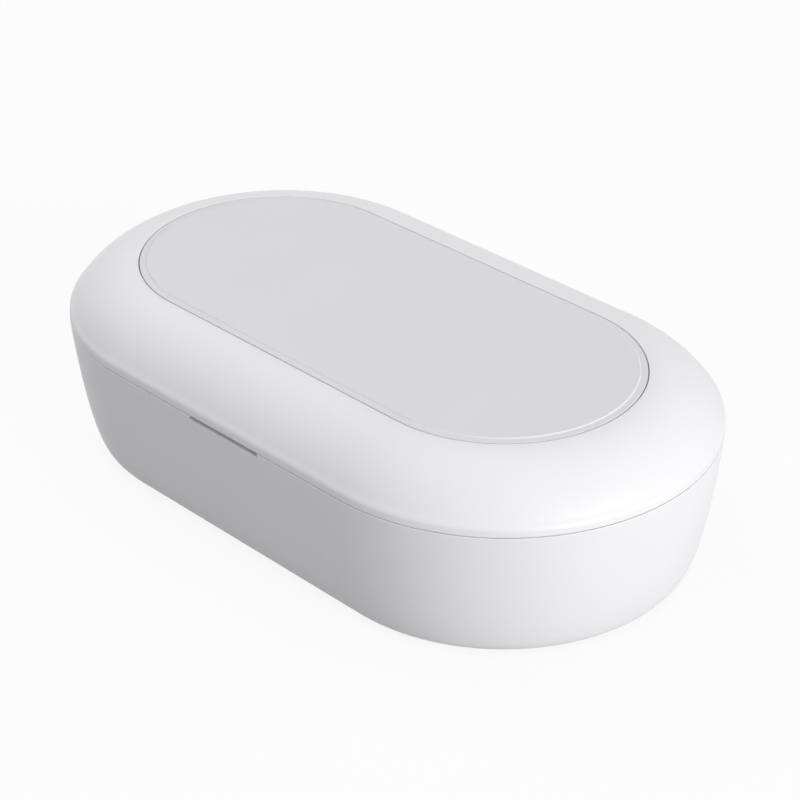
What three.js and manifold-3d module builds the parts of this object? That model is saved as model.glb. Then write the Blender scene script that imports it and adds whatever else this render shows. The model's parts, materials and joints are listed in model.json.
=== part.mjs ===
// Oval UV-C sanitizer box for pocket-sized things, with a wireless charging pad in its hinged lid.
// Millimetres, +Z up, X along the box, -Y at the front, hinge at the back.
import * as THREE from 'three';
import { mergeVertices } from 'three/addons/utils/BufferGeometryUtils.js';
import Module from 'manifold-3d';

const wasm = await Module();
wasm.setup();

// Driving dimensions of the case
const CASE_LENGTH = 200;
const CASE_WIDTH = 114;
const CASE_WALL = 2.2;
const BASE_HEIGHT = 37.5;
const BASE_BOTTOM_INSET = 7.2;
const BASE_WALL_HANDLE_DROP = 18.5;
const BASE_WALL_HANDLE_INSET = 1.4;
const BASE_CORNER_HANDLE = 2.8;
const LID_HEIGHT = 13.9;
const LID_RIM_HEIGHT = 1.8;
const LID_RIM_DRAFT = 0.28;
const LID_SHOULDER_RISE = 6.5;
const LID_SHOULDER_INSET = 3.6;
const LID_CROWN_HANDLE = 7.2;
const PARTING_GAP = 0.3;
const EDGE_BREAK = 0.3;
const SEAT_GAP = 0.2;
const SIDE_GAP = 0.3;

// Finger notch through the front edge of the base
const NOTCH_LENGTH = 27;
const NOTCH_HEIGHT = 1;

// Charging pad and the parts of the charger under it
const PAD_INSET = 20.1;
const PAD_BORDER = 2.1;
const PAD_STEP_WIDTH = 0.35;
const PAD_STEP_RISE = 0.3;
const PAD_THICKNESS = 2;
const LID_TOP_WALL = 1.8;
const COIL_OUTER_DIAMETER = 50;
const COIL_INNER_DIAMETER = 20;
const COIL_THICKNESS = 1.2;
const FERRITE_MARGIN = 2;
const FERRITE_THICKNESS = 0.6;
const CHARGER_BOARD_LENGTH = 34;
const CHARGER_BOARD_WIDTH = 22;
const CHARGER_BOARD_THICKNESS = 1;
const CHARGER_BOARD_DROP = 1.8;
const CHARGER_CHIP_SIZE = 6;
const CHARGER_CHIP_HEIGHT = 1;
const CHARGER_FERRITE_SPACE = 1;
const CHARGER_LED_SPACE = 2.4;

// Tray that lines the base
const TRAY_WALL = 1.6;
const TRAY_SINK = 0.9;
const TRAY_FLANGE_WIDTH = 8.1;
const TRAY_DRAFT = 1.6;
const TRAY_CORNER = 6;
const CHAMBER_DEPTH = 23.6;
const SHELF_WIDTH = 1.4;
const SHELF_HEIGHT = 1.6;
const RIB_COUNT = 5;
const RIB_END_SPACE = 46;
const RIB_LENGTH = 25;
const RIB_WIDTH = 2;
const RIB_HEIGHT = 3;
const RIB_SINK = 0.8;

// Liner that closes the lid
const LINER_WALL = 1.6;
const LINER_CEILING_WALL = 1.4;
const LINER_RISE = 0.6;
const LINER_CEILING_RISE = 2.6;
const LIP_DEPTH = 3;
const LIP_WALL = 1.4;
const LIP_GAP = 0.4;
const LINER_CORNER = 2.4;

// UV-C light bars, one in the base and one in the lid
const BAR_END_SPACE = 27;
const BAR_WIDTH = 15;
const BAR_THICKNESS = 1;
const LED_COUNT = 4;
const LED_END_SPACE = 15;
const LED_SIZE = 3.5;
const LED_HEIGHT = 1;
const LED_LENS_HEIGHT = 0.25;
const WINDOW_END_SPACE = 10;
const WINDOW_WIDTH = 15;
const WINDOW_THICKNESS = 1.1;
const WINDOW_BORDER = 3;
const BAR_POST_DIAMETER = 5;
const BAR_POST_EDGE = 5;

// Bottom cover, feet and their screws
const COVER_INSET = 16;
const COVER_THICKNESS = 2;
const COVER_LEDGE = 4;
const LEDGE_THICKNESS = 1.6;
const FOOT_DIAMETER = 12;
const FOOT_HEIGHT = 2;
const FOOT_PROUD = 1;
const FOOT_END_SPACE = 22;
const FOOT_SIDE_SPACE = 17;
const COVER_BOSS_DIAMETER = 9.2;
const COVER_BOSS_HEIGHT = 2.8;
const LEG_DIAMETER = 7;
const VENT_COUNT = 6;
const VENT_SPACING = 5;
const VENT_LENGTH = 22;
const VENT_WIDTH = 2;

// Circuit board and what is on it
const BOARD_LENGTH = 68;
const BOARD_DEPTH = 35;
const BOARD_THICKNESS = 1.6;
const BOARD_POST_HEIGHT = 4.4;
const BOARD_POST_DIAMETER = 4.6;
const BOARD_POST_SPACING_X = 60;
const BOARD_POST_FRONT = 4;
const BOARD_POST_SPACING_Y = 17;
const BOARD_REAR_GAP = 0.7;
const BOARD_CHIP_SIZE = 8;
const BOARD_CHIP_HEIGHT = 1.2;
const CAPACITOR_DIAMETER = 5;
const CAPACITOR_HEIGHT = 3.6;
const INLET_X = -14;
const INLET_WIDTH = 9;
const INLET_HEIGHT = 3.2;
const INLET_DEPTH = 7.4;
const INLET_WALL = 0.35;
const INLET_TONGUE_WIDTH = 6.6;
const INLET_TONGUE_HEIGHT = 0.7;
const INLET_CAVITY_DEPTH = 6.2;
const INLET_PORT_WIDTH = 12.2;
const INLET_PORT_HEIGHT = 6.4;
const BUTTON_X = 22;
const BUTTON_DIAMETER = 7;
const BUTTON_PROUD = 0.7;
const BUTTON_TRAVEL = 0.6;
const BUTTON_STEM_DIAMETER = 3;
const BUTTON_EAR_SPAN = 10.4;
const BUTTON_EAR_HEIGHT = 3;
const BUTTON_EAR_THICKNESS = 1.3;
const SWITCH_WIDTH = 6;
const SWITCH_DEPTH = 3.4;
const SWITCH_HEIGHT = 3.2;
const SWITCH_SETBACK = 1.6;
const PLUNGER_DIAMETER = 2.4;
const PLUNGER_PROUD = 0.9;
const PLUNGER_DEPTH = 0.8;
const LENS_X = 8;
const LENS_DIAMETER = 2.8;
const LENS_INNER = 2;
const STATUS_LED_SIZE = 2;

// Hinge at the back edge
const BARREL_DIAMETER = 5.6;
const BARREL_CLEARANCE = 0.4;
const HINGE_LENGTH = 60;
const LID_KNUCKLE_LENGTH = 24;
const KNUCKLE_GAP = 0.3;
const PIN_DIAMETER = 2;
const PIN_CLEARANCE = 0.1;
const JAW_LENGTH = 1.5;
const JAW_DEGREES = 120;
const OPENING_DEGREES = 105;
const JAW_PLAY_DEGREES = 5;

// Closing magnets and the closed-lid sensor
const MAGNET_DIAMETER = 4.4;
const MAGNET_THICKNESS = 1.4;
const MAGNET_SPACING = 44;
const SENSOR_DIAMETER = 2.2;
const SENSOR_LENGTH = 14;

// Screws
const SCREW_DIAMETER = 2;
const SCREW_HEAD_DIAMETER = 4.2;
const SCREW_HEAD_HEIGHT = 1.2;
const SCREW_GRIP = 3;
const SCREW_CLEARANCE = 0.2;
const LID_SCREW_SPACING = 76;
const LID_SCREW_LENGTH = 4.6;
const LID_BOSS_DIAMETER = 4.4;

// Cuts run past the faces that they open by this much
const OVERRUN = 5;
// Steps of a half circle at the ends of the case, of a profile and of a small round part
const ARC_STEPS = 20;
const PROFILE_STEPS = 9;
const CORNER_STEPS = 3;
const ROUND_STEPS = 12;

// Heights and places worked out from the sizes above
const underside = FOOT_PROUD;
const parting = underside + BASE_HEIGHT;
const halfLength = CASE_LENGTH / 2;
const halfWidth = CASE_WIDTH / 2;
const straightHalf = halfLength - halfWidth;
const barrelRadius = BARREL_DIAMETER / 2;
const padTop = parting + LID_HEIGHT + PAD_STEP_RISE;
const padSeat = padTop - PAD_THICKNESS - SEAT_GAP;
const lidCeiling = padSeat - LID_TOP_WALL;
const flangeInset = CASE_WALL + SIDE_GAP;
const chamberInset = flangeInset + TRAY_FLANGE_WIDTH;
const flangeTop = parting - TRAY_SINK;
const flangeUnder = flangeTop - TRAY_WALL;
const trayFloor = flangeTop - CHAMBER_DEPTH;
const trayUnder = trayFloor - TRAY_WALL;
const coverSeat = underside + COVER_THICKNESS + SEAT_GAP;
const boardTop = trayUnder - BOARD_POST_HEIGHT - SEAT_GAP;
const boardUnder = boardTop - BOARD_THICKNESS;
const partHeight = boardTop + SEAT_GAP;
const portHeight = partHeight + INLET_HEIGHT / 2;
const linerUnder = parting + LINER_RISE;
const linerTop = linerUnder + LINER_WALL;
const linerCeiling = parting + LINER_CEILING_RISE;
const linerCeilingTop = linerCeiling + LINER_CEILING_WALL;
const lipInset = chamberInset + LIP_GAP;
const ferriteSize = COIL_OUTER_DIAMETER + 2 * FERRITE_MARGIN;
const barLength = CASE_LENGTH - 2 * BAR_END_SPACE;
const windowLength = barLength - 2 * WINDOW_END_SPACE;
const ledSpacing = (windowLength - 2 * LED_END_SPACE) / (LED_COUNT - 1);
const ribSpacing = (CASE_LENGTH - 2 * RIB_END_SPACE) / (RIB_COUNT - 1);
const magnetInset = (flangeInset + SHELF_WIDTH + chamberInset - TRAY_WALL) / 2;

// Materials
function finish(color, roughness, metalness = 0, opacity = 1) {
  return new THREE.MeshStandardMaterial({ color, roughness, metalness, opacity, transparent: opacity < 1 });
}

const caseWhite = finish(0xf1f1f3, 0.35);
const padWhite = finish(0xe9e9ec, 0.3);
const linerWhite = finish(0xe4e6ea, 0.25);
const coverGrey = finish(0xe6e6e8, 0.5);
const rubberGrey = finish(0x9a9a9c, 0.85);
const steel = finish(0xb8bcc0, 0.3, 1);
const copper = finish(0xb87040, 0.4, 1);
const ferriteBlack = finish(0x2b2a2c, 0.7);
const boardGreen = finish(0x1f5a3c, 0.5);
const boardWhite = finish(0xdfe2e2, 0.5, 0.2);
const ledCeramic = finish(0xd9c98a, 0.4);
const clearQuartz = finish(0xdfeaf2, 0.05, 0, 0.35);
const partBlack = finish(0x1c1c1e, 0.55);
const lensClear = finish(0xdfeee6, 0.15, 0, 0.6);

// Solids for cutting and joining
function solidOf(geometry) {
  const bare = geometry.clone();
  bare.deleteAttribute('normal');
  bare.deleteAttribute('uv');
  const merged = mergeVertices(bare);
  return new wasm.Manifold(new wasm.Mesh({
    numProp: 3,
    vertProperties: new Float32Array(merged.attributes.position.array),
    triVerts: new Uint32Array(merged.index.array),
  }));
}

function geometryOf(solid) {
  const mesh = solid.getMesh();
  const geometry = new THREE.BufferGeometry();
  geometry.setAttribute('position', new THREE.BufferAttribute(mesh.vertProperties, 3));
  geometry.setIndex(new THREE.BufferAttribute(mesh.triVerts, 1));
  return geometry;
}

function joined(first, ...others) {
  return others.reduce((sum, other) => sum.add(other), first);
}

function cut(first, ...others) {
  return others.reduce((rest, other) => rest.subtract(other), first);
}

// An oval outline with round ends, counter-clockwise
function ovalPoints(length, width) {
  const radius = width / 2;
  const reach = (length - width) / 2;
  const rightEnd = new THREE.EllipseCurve(reach, 0, radius, radius, -Math.PI / 2, Math.PI / 2);
  const leftEnd = new THREE.EllipseCurve(-reach, 0, radius, radius, Math.PI / 2, Math.PI * 3 / 2);
  return [...rightEnd.getPoints(ARC_STEPS), ...leftEnd.getPoints(ARC_STEPS)];
}

// How far the case's outline, drawn in by an inset, runs from the middle line at a place along the case
function ovalHalfWidth(x, inset) {
  const beyond = Math.max(Math.abs(x) - straightHalf, 0);
  return Math.sqrt((halfWidth - inset) ** 2 - beyond ** 2);
}

// A solid whose outline is an oval at each level, drawn in by that level's inset.
// A closed one joins its last level to its first, and another is capped at both.
function ovalSolid(length, width, levels, closed = false) {
  const rings = levels.map(([inset, z]) =>
    ovalPoints(length - 2 * inset, width - 2 * inset).map((point) => [point.x, point.y, z]));
  const count = rings[0].length;
  const positions = rings.flat(2);
  const faces = [];
  const bands = closed ? levels.length : levels.length - 1;
  for (let band = 0; band < bands; band += 1) {
    const low = band * count;
    const high = ((band + 1) % levels.length) * count;
    for (let i = 0; i < count; i += 1) {
      const next = (i + 1) % count;
      faces.push(low + i, low + next, high + next);
      faces.push(low + i, high + next, high + i);
    }
  }
  if (!closed) {
    const last = (levels.length - 1) * count;
    for (let i = 1; i < count - 1; i += 1) {
      faces.push(0, i + 1, i);
      faces.push(last, last + i, last + i + 1);
    }
  }
  const geometry = new THREE.BufferGeometry();
  geometry.setAttribute('position', new THREE.Float32BufferAttribute(positions, 3));
  geometry.setIndex(faces);
  return solidOf(geometry);
}

function caseSolid(levels, closed = false) {
  return ovalSolid(CASE_LENGTH, CASE_WIDTH, levels, closed);
}

// A block between two corners
function block(x0, x1, y0, y1, z0, z1) {
  const geometry = new THREE.BoxGeometry(x1 - x0, y1 - y0, z1 - z0);
  return solidOf(geometry.translate((x0 + x1) / 2, (y0 + y1) / 2, (z0 + z1) / 2));
}

// Round bars along each axis, between two places on it
function postZ(x, y, z0, z1, diameter) {
  const geometry = new THREE.CylinderGeometry(diameter / 2, diameter / 2, z1 - z0, ROUND_STEPS);
  return solidOf(geometry.rotateX(Math.PI / 2).translate(x, y, (z0 + z1) / 2));
}

function barX(x0, x1, y, z, diameter) {
  const geometry = new THREE.CylinderGeometry(diameter / 2, diameter / 2, x1 - x0, ROUND_STEPS);
  return solidOf(geometry.rotateZ(Math.PI / 2).translate((x0 + x1) / 2, y, z));
}

function barY(x, y0, y1, z, diameter) {
  const geometry = new THREE.CylinderGeometry(diameter / 2, diameter / 2, y1 - y0, 2 * ROUND_STEPS);
  return solidOf(geometry.translate(x, (y0 + y1) / 2, z));
}

// The curve of the base's outer wall, from the parting line down to the underside
const baseCurve = new THREE.CubicBezierCurve(
  new THREE.Vector2(0, 0),
  new THREE.Vector2(BASE_WALL_HANDLE_INSET, -BASE_WALL_HANDLE_DROP),
  new THREE.Vector2(BASE_BOTTOM_INSET - BASE_CORNER_HANDLE, -BASE_HEIGHT),
  new THREE.Vector2(BASE_BOTTOM_INSET, -BASE_HEIGHT),
);

// The curve of the lid's dome, from its rim up to the edge of the pad's pocket
const pocketInset = PAD_INSET - SIDE_GAP;
const lidCurve = new THREE.CubicBezierCurve(
  new THREE.Vector2(LID_RIM_DRAFT, LID_RIM_HEIGHT),
  new THREE.Vector2(LID_RIM_DRAFT + LID_SHOULDER_INSET, LID_RIM_HEIGHT + LID_SHOULDER_RISE),
  new THREE.Vector2(pocketInset - LID_CROWN_HANDLE, LID_HEIGHT),
  new THREE.Vector2(pocketInset, LID_HEIGHT),
);

const basePoints = baseCurve.getPoints(PROFILE_STEPS);

// How far the outer wall of the base has drawn in at a height
function baseInset(z) {
  const depth = parting - z;
  const lower = basePoints.findIndex((point) => -point.y >= depth);
  const below = basePoints[Math.max(lower, 1)];
  const above = basePoints[Math.max(lower, 1) - 1];
  const share = (depth + above.y) / (above.y - below.y);
  return above.x + (below.x - above.x) * share;
}

function rearWall(z) {
  return halfWidth - baseInset(z);
}

function rearWallInside(z) {
  return rearWall(z) - CASE_WALL;
}

// Levels of the base's outer wall, from the underside up, drawn in by an offset
function baseOuterLevels(offset) {
  const levels = basePoints.map((point) => [point.x + offset, parting + point.y]).reverse();
  return levels.slice(0, -1);
}

// Levels of the dome, from the rim up, moved square to its curve by an offset
function domeLevels(offset) {
  const levels = [];
  for (let step = 0; step <= PROFILE_STEPS; step += 1) {
    const point = lidCurve.getPoint(step / PROFILE_STEPS);
    const tangent = lidCurve.getTangent(step / PROFILE_STEPS);
    levels.push([point.x + tangent.y * offset, parting + point.y - tangent.x * offset]);
  }
  return levels;
}

// The part of the inner dome below the lid's ceiling, ending on it
function innerDomeLevels() {
  const levels = domeLevels(CASE_WALL);
  const above = levels.findIndex(([, z]) => z > lidCeiling);
  const [insetBelow, zBelow] = levels[above - 1];
  const [insetAbove, zAbove] = levels[above];
  const share = (lidCeiling - zBelow) / (zAbove - zBelow);
  return [...levels.slice(0, above), [insetBelow + (insetAbove - insetBelow) * share, lidCeiling]];
}

// How far the inside of the lid's wall has drawn in at a height
function domeInsideInset(z) {
  const levels = [[CASE_WALL, parting], ...innerDomeLevels()];
  const above = levels.findIndex(([, levelZ]) => levelZ >= z);
  const [insetBelow, zBelow] = levels[above - 1];
  const [insetAbove, zAbove] = levels[above];
  return insetBelow + (insetAbove - insetBelow) * (z - zBelow) / (zAbove - zBelow);
}

// Points of a rounded inside corner, from the wall down to the floor
function cornerLevels(wallInset, floorInset, wallZ, floorZ) {
  const levels = [];
  for (let step = 0; step <= CORNER_STEPS; step += 1) {
    const angle = (step / CORNER_STEPS) * Math.PI / 2;
    levels.push([
      wallInset + (floorInset - wallInset) * (1 - Math.cos(angle)),
      wallZ + (floorZ - wallZ) * Math.sin(angle),
    ]);
  }
  return levels;
}

// Hinge
const barrelY = halfWidth;
const knuckleEnd = LID_KNUCKLE_LENGTH / 2;
const boreDiameter = PIN_DIAMETER + 2 * PIN_CLEARANCE;

function hingeClearance() {
  const reach = HINGE_LENGTH / 2 + BARREL_CLEARANCE;
  return barX(-reach, reach, barrelY, parting, BARREL_DIAMETER + 2 * BARREL_CLEARANCE);
}

function knuckle(x0, x1) {
  return barX(x0, x1, barrelY, parting, BARREL_DIAMETER);
}

function pinBore() {
  return barX(-HINGE_LENGTH, HINGE_LENGTH, barrelY, parting, boreDiameter);
}

// A sector of the barrel along X, from one angle to another, counted from +Y towards +Z
function barrelSector(x0, x1, startDegrees, endDegrees, radius) {
  const start = THREE.MathUtils.degToRad(startDegrees);
  const end = THREE.MathUtils.degToRad(endDegrees);
  const shape = new THREE.Shape();
  shape.moveTo(0, 0);
  shape.absarc(0, 0, radius, start, end, false);
  shape.closePath();
  const geometry = new THREE.ExtrudeGeometry(shape, {
    depth: x1 - x0,
    bevelEnabled: false,
    curveSegments: ROUND_STEPS,
  });
  geometry.rotateZ(Math.PI / 2).rotateY(Math.PI / 2);
  return solidOf(geometry.translate(x0, barrelY, parting));
}

// The lid's jaw stops against the jaw of the base when the lid is fully open
const jawStart = 180;
const jawX0 = knuckleEnd;
const jawX1 = knuckleEnd + KNUCKLE_GAP + JAW_LENGTH;

function lidJaw() {
  return barrelSector(jawX0, jawX1 - KNUCKLE_GAP, jawStart - JAW_DEGREES, jawStart, barrelRadius);
}

function jawPath() {
  const first = jawStart - JAW_DEGREES - OPENING_DEGREES - JAW_PLAY_DEGREES;
  const last = jawStart + JAW_PLAY_DEGREES;
  return barrelSector(jawX0, jawX1, first, last, barrelRadius + BARREL_CLEARANCE);
}

function hingePin() {
  return barX(-HINGE_LENGTH / 2, HINGE_LENGTH / 2, barrelY, parting, PIN_DIAMETER);
}

// Screws point up from their head, or down when they are turned over
function screw(length) {
  const head = postZ(0, 0, -SCREW_HEAD_HEIGHT, 0, SCREW_HEAD_DIAMETER);
  return joined(head, postZ(0, 0, -SCREW_HEAD_HEIGHT / 2, length, SCREW_DIAMETER));
}

function countersunkScrew(length) {
  const head = new THREE.LatheGeometry([
    new THREE.Vector2(0, 0),
    new THREE.Vector2(SCREW_HEAD_DIAMETER / 2, 0),
    new THREE.Vector2(SCREW_DIAMETER / 2, SCREW_HEAD_HEIGHT),
    new THREE.Vector2(SCREW_DIAMETER / 2, length),
    new THREE.Vector2(0, length),
  ], ROUND_STEPS);
  return solidOf(head.rotateX(Math.PI / 2));
}

function countersink(x, y, z) {
  const widening = SCREW_CLEARANCE;
  const hole = new THREE.LatheGeometry([
    new THREE.Vector2(0, -OVERRUN),
    new THREE.Vector2(SCREW_HEAD_DIAMETER / 2 + widening, -OVERRUN),
    new THREE.Vector2(SCREW_HEAD_DIAMETER / 2 + widening, 0),
    new THREE.Vector2(SCREW_DIAMETER / 2 + widening, SCREW_HEAD_HEIGHT),
    new THREE.Vector2(SCREW_DIAMETER / 2 + widening, SCREW_HEAD_HEIGHT + OVERRUN),
    new THREE.Vector2(0, SCREW_HEAD_HEIGHT + OVERRUN),
  ], ROUND_STEPS);
  return solidOf(hole.rotateX(Math.PI / 2).translate(x, y, z));
}

const holeDiameter = SCREW_DIAMETER + 2 * SCREW_CLEARANCE;
const sides = [-1, 1];
const footX = halfLength - COVER_INSET - FOOT_END_SPACE;
const footY = halfWidth - COVER_INSET - FOOT_SIDE_SPACE;
const footPlaces = sides.flatMap((sideX) => sides.map((sideY) => [sideX * footX, sideY * footY]));
const barPostX = barLength / 2 - BAR_POST_EDGE;
const boardRear = rearWallInside(boardUnder) - BOARD_REAR_GAP;
const boardFront = boardRear - BOARD_DEPTH;
const boardPostPlaces = sides.flatMap((side) => [
  [side * BOARD_POST_SPACING_X / 2, boardFront + BOARD_POST_FRONT],
  [side * BOARD_POST_SPACING_X / 2, boardFront + BOARD_POST_FRONT + BOARD_POST_SPACING_Y],
]);
const legFoot = underside + COVER_THICKNESS + COVER_BOSS_HEIGHT + SEAT_GAP;
const ledXs = Array.from({ length: LED_COUNT }, (_, i) => (i - (LED_COUNT - 1) / 2) * ledSpacing);

// Base shell: the outer wall, the shelf for the tray and the ledge for the bottom cover
const ledgeTop = coverSeat + LEDGE_THICKNESS;
const shelfTop = flangeUnder - SEAT_GAP;

function wallInsideLevels() {
  const shelfUnder = shelfTop - SHELF_HEIGHT;
  const wallTop = shelfUnder - SHELF_WIDTH;
  const below = baseOuterLevels(CASE_WALL).filter(([, z]) => z > ledgeTop && z < wallTop).reverse();
  return [
    [CASE_WALL, shelfTop],
    [CASE_WALL + SHELF_WIDTH, shelfTop],
    [CASE_WALL + SHELF_WIDTH, shelfUnder],
    [baseInset(wallTop) + CASE_WALL, wallTop],
    ...below,
    [baseInset(ledgeTop) + CASE_WALL, ledgeTop],
  ];
}

function baseShell() {
  const coverEdge = COVER_INSET - SIDE_GAP;
  const rimTop = parting - PARTING_GAP / 2;
  const shell = caseSolid([
    ...baseOuterLevels(0),
    [baseInset(rimTop - EDGE_BREAK), rimTop - EDGE_BREAK],
    [EDGE_BREAK, rimTop],
    [CASE_WALL, rimTop],
    ...wallInsideLevels(),
    [COVER_INSET + COVER_LEDGE, ledgeTop],
    [COVER_INSET + COVER_LEDGE, coverSeat],
    [coverEdge, coverSeat],
    [coverEdge, underside],
  ], true);
  const notch = block(
    -NOTCH_LENGTH / 2, NOTCH_LENGTH / 2,
    -halfWidth - OVERRUN, -halfWidth + CASE_WALL + SIDE_GAP,
    rimTop - NOTCH_HEIGHT, rimTop + OVERRUN,
  );
  const portY0 = rearWallInside(portHeight) - OVERRUN;
  const portY1 = halfWidth + OVERRUN;
  const portReach = (INLET_PORT_WIDTH - INLET_PORT_HEIGHT) / 2;
  const port = joined(
    block(
      INLET_X - portReach, INLET_X + portReach, portY0, portY1,
      portHeight - INLET_PORT_HEIGHT / 2, portHeight + INLET_PORT_HEIGHT / 2,
    ),
    barY(INLET_X - portReach, portY0, portY1, portHeight, INLET_PORT_HEIGHT),
    barY(INLET_X + portReach, portY0, portY1, portHeight, INLET_PORT_HEIGHT),
  );
  const buttonHole = barY(BUTTON_X, portY0, portY1, portHeight, BUTTON_DIAMETER + 2 * SIDE_GAP);
  const lensHole = barY(LENS_X, portY0, portY1, portHeight, LENS_DIAMETER + 2 * SEAT_GAP);
  const knuckleX = knuckleEnd + KNUCKLE_GAP;
  const knuckleRoom = barX(
    -knuckleX, knuckleX, barrelY, parting, BARREL_DIAMETER + 2 * BARREL_CLEARANCE,
  );
  const knuckles = sides.map((side) =>
    knuckle(...[side * knuckleX, side * HINGE_LENGTH / 2].sort((a, b) => a - b)));
  return cut(
    joined(cut(shell, notch, port, buttonHole, lensHole, knuckleRoom), ...knuckles),
    jawPath(),
    pinBore(),
  );
}

// Tray: the white lower chamber, with ribs that carry what is cleaned, and legs and posts below
function innerTray() {
  const cornerTop = trayFloor + TRAY_CORNER;
  const inside = cornerLevels(
    chamberInset + TRAY_DRAFT, chamberInset + TRAY_DRAFT + TRAY_CORNER, cornerTop, trayFloor,
  );
  const outside = cornerLevels(
    chamberInset + TRAY_DRAFT - TRAY_WALL, chamberInset + TRAY_DRAFT + TRAY_CORNER - TRAY_WALL / 2,
    cornerTop, trayUnder,
  ).reverse();
  const tray = caseSolid([
    ...outside,
    [chamberInset - TRAY_WALL, flangeUnder],
    [flangeInset, flangeUnder],
    [flangeInset, flangeTop],
    [chamberInset, flangeTop],
    ...inside,
  ]);
  const ribs = sides.flatMap((side) => Array.from({ length: RIB_COUNT }, (_, i) => {
    const x = (i - (RIB_COUNT - 1) / 2) * ribSpacing;
    const near = side * (WINDOW_WIDTH / 2 + RIB_WIDTH);
    const [y0, y1] = [near, near + side * RIB_LENGTH].sort((a, b) => a - b);
    return block(x - RIB_WIDTH / 2, x + RIB_WIDTH / 2, y0, y1, trayFloor - RIB_SINK, trayFloor + RIB_HEIGHT);
  }));
  const legs = footPlaces.map(([x, y]) => postZ(x, y, legFoot, trayUnder + RIB_SINK, LEG_DIAMETER));
  const legBores = footPlaces.map(([x, y]) =>
    postZ(x, y, legFoot - OVERRUN, trayUnder - RIB_SINK, holeDiameter));
  const boardPosts = boardPostPlaces.map(([x, y]) =>
    postZ(x, y, boardTop + SEAT_GAP, trayUnder + RIB_SINK, BOARD_POST_DIAMETER));
  const boardBores = boardPostPlaces.map(([x, y]) =>
    postZ(x, y, boardTop - OVERRUN, trayUnder - RIB_SINK, holeDiameter));
  const barPosts = sides.map((side) =>
    postZ(side * barPostX, 0, baseBarTop + SEAT_GAP, trayUnder + RIB_SINK, BAR_POST_DIAMETER));
  const barBores = sides.map((side) =>
    postZ(side * barPostX, 0, baseBarTop - OVERRUN, trayUnder + RIB_SINK, holeDiameter));
  return cut(
    joined(tray, ...ribs, ...legs, ...boardPosts, ...barPosts),
    ...legBores, ...boardBores, ...barBores,
    windowOpening(trayUnder, trayFloor),
    hingeClearance(),
  );
}

// Light bars: board, four emitters and a clear window over them
const baseWindowTop = trayUnder - SEAT_GAP;
const baseLedTop = baseWindowTop - WINDOW_THICKNESS - SEAT_GAP;
const baseBarTop = baseLedTop - LED_HEIGHT - SEAT_GAP / 2;
const lidWindowUnder = linerCeilingTop + SEAT_GAP;
const lidLedUnder = lidWindowUnder + WINDOW_THICKNESS + SEAT_GAP;
const lidBarUnder = lidLedUnder + LED_HEIGHT + SEAT_GAP / 2;

function windowOpening(z0, z1) {
  const length = windowLength - 2 * WINDOW_BORDER;
  const width = WINDOW_WIDTH - 2 * WINDOW_BORDER;
  return ovalSolid(length, width, [[0, z0 - OVERRUN], [0, z1 + OVERRUN]]);
}

function windowPane(z0) {
  return ovalSolid(windowLength, WINDOW_WIDTH, [[0, z0], [0, z0 + WINDOW_THICKNESS]]);
}

function lightBar(z0) {
  const bar = block(-barLength / 2, barLength / 2, -BAR_WIDTH / 2, BAR_WIDTH / 2, z0, z0 + BAR_THICKNESS);
  const holes = sides.map((side) =>
    postZ(side * barPostX, 0, z0 - OVERRUN, z0 + BAR_THICKNESS + OVERRUN, holeDiameter));
  return cut(bar, ...holes);
}

// An emitter with its lens side up or down
function emitter(x, z0, up) {
  const half = LED_SIZE / 2;
  const bodyUnder = up ? z0 : z0 + LED_LENS_HEIGHT;
  const body = block(x - half, x + half, -half, half, bodyUnder, bodyUnder + LED_HEIGHT - LED_LENS_HEIGHT);
  return joined(body, postZ(x, 0, z0, z0 + LED_HEIGHT, LED_SIZE - 2 * LED_LENS_HEIGHT));
}

// Bottom cover with foot pockets, screw bosses and vents
function bottomCover() {
  const top = underside + COVER_THICKNESS;
  const plate = caseSolid([
    [COVER_INSET + EDGE_BREAK, underside],
    [COVER_INSET, underside + EDGE_BREAK],
    [COVER_INSET, top],
  ]);
  const pocketTop = FOOT_HEIGHT + SEAT_GAP;
  const bossTop = top + COVER_BOSS_HEIGHT;
  const bosses = footPlaces.map(([x, y]) => postZ(x, y, top - EDGE_BREAK, bossTop, COVER_BOSS_DIAMETER));
  const headPockets = footPlaces.map(([x, y]) =>
    postZ(x, y, underside, bossTop - COVER_THICKNESS, SCREW_HEAD_DIAMETER + 2 * SIDE_GAP));
  const footPockets = footPlaces.map(([x, y]) =>
    postZ(x, y, underside - OVERRUN, pocketTop, FOOT_DIAMETER + 2 * SIDE_GAP));
  const screwHoles = footPlaces.map(([x, y]) => postZ(x, y, underside, bossTop + OVERRUN, holeDiameter));
  const vents = Array.from({ length: VENT_COUNT }, (_, i) => {
    const y = (i - (VENT_COUNT - 1) / 2) * VENT_SPACING;
    return block(
      -VENT_LENGTH / 2, VENT_LENGTH / 2, y - VENT_WIDTH / 2, y + VENT_WIDTH / 2,
      underside - OVERRUN, top + OVERRUN,
    );
  });
  return cut(joined(plate, ...bosses), ...headPockets, ...footPockets, ...screwHoles, ...vents);
}

function foot(x, y) {
  return joined(
    postZ(x, y, EDGE_BREAK, FOOT_HEIGHT, FOOT_DIAMETER),
    postZ(x, y, 0, FOOT_HEIGHT / 2, FOOT_DIAMETER - 2 * EDGE_BREAK),
  );
}

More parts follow.
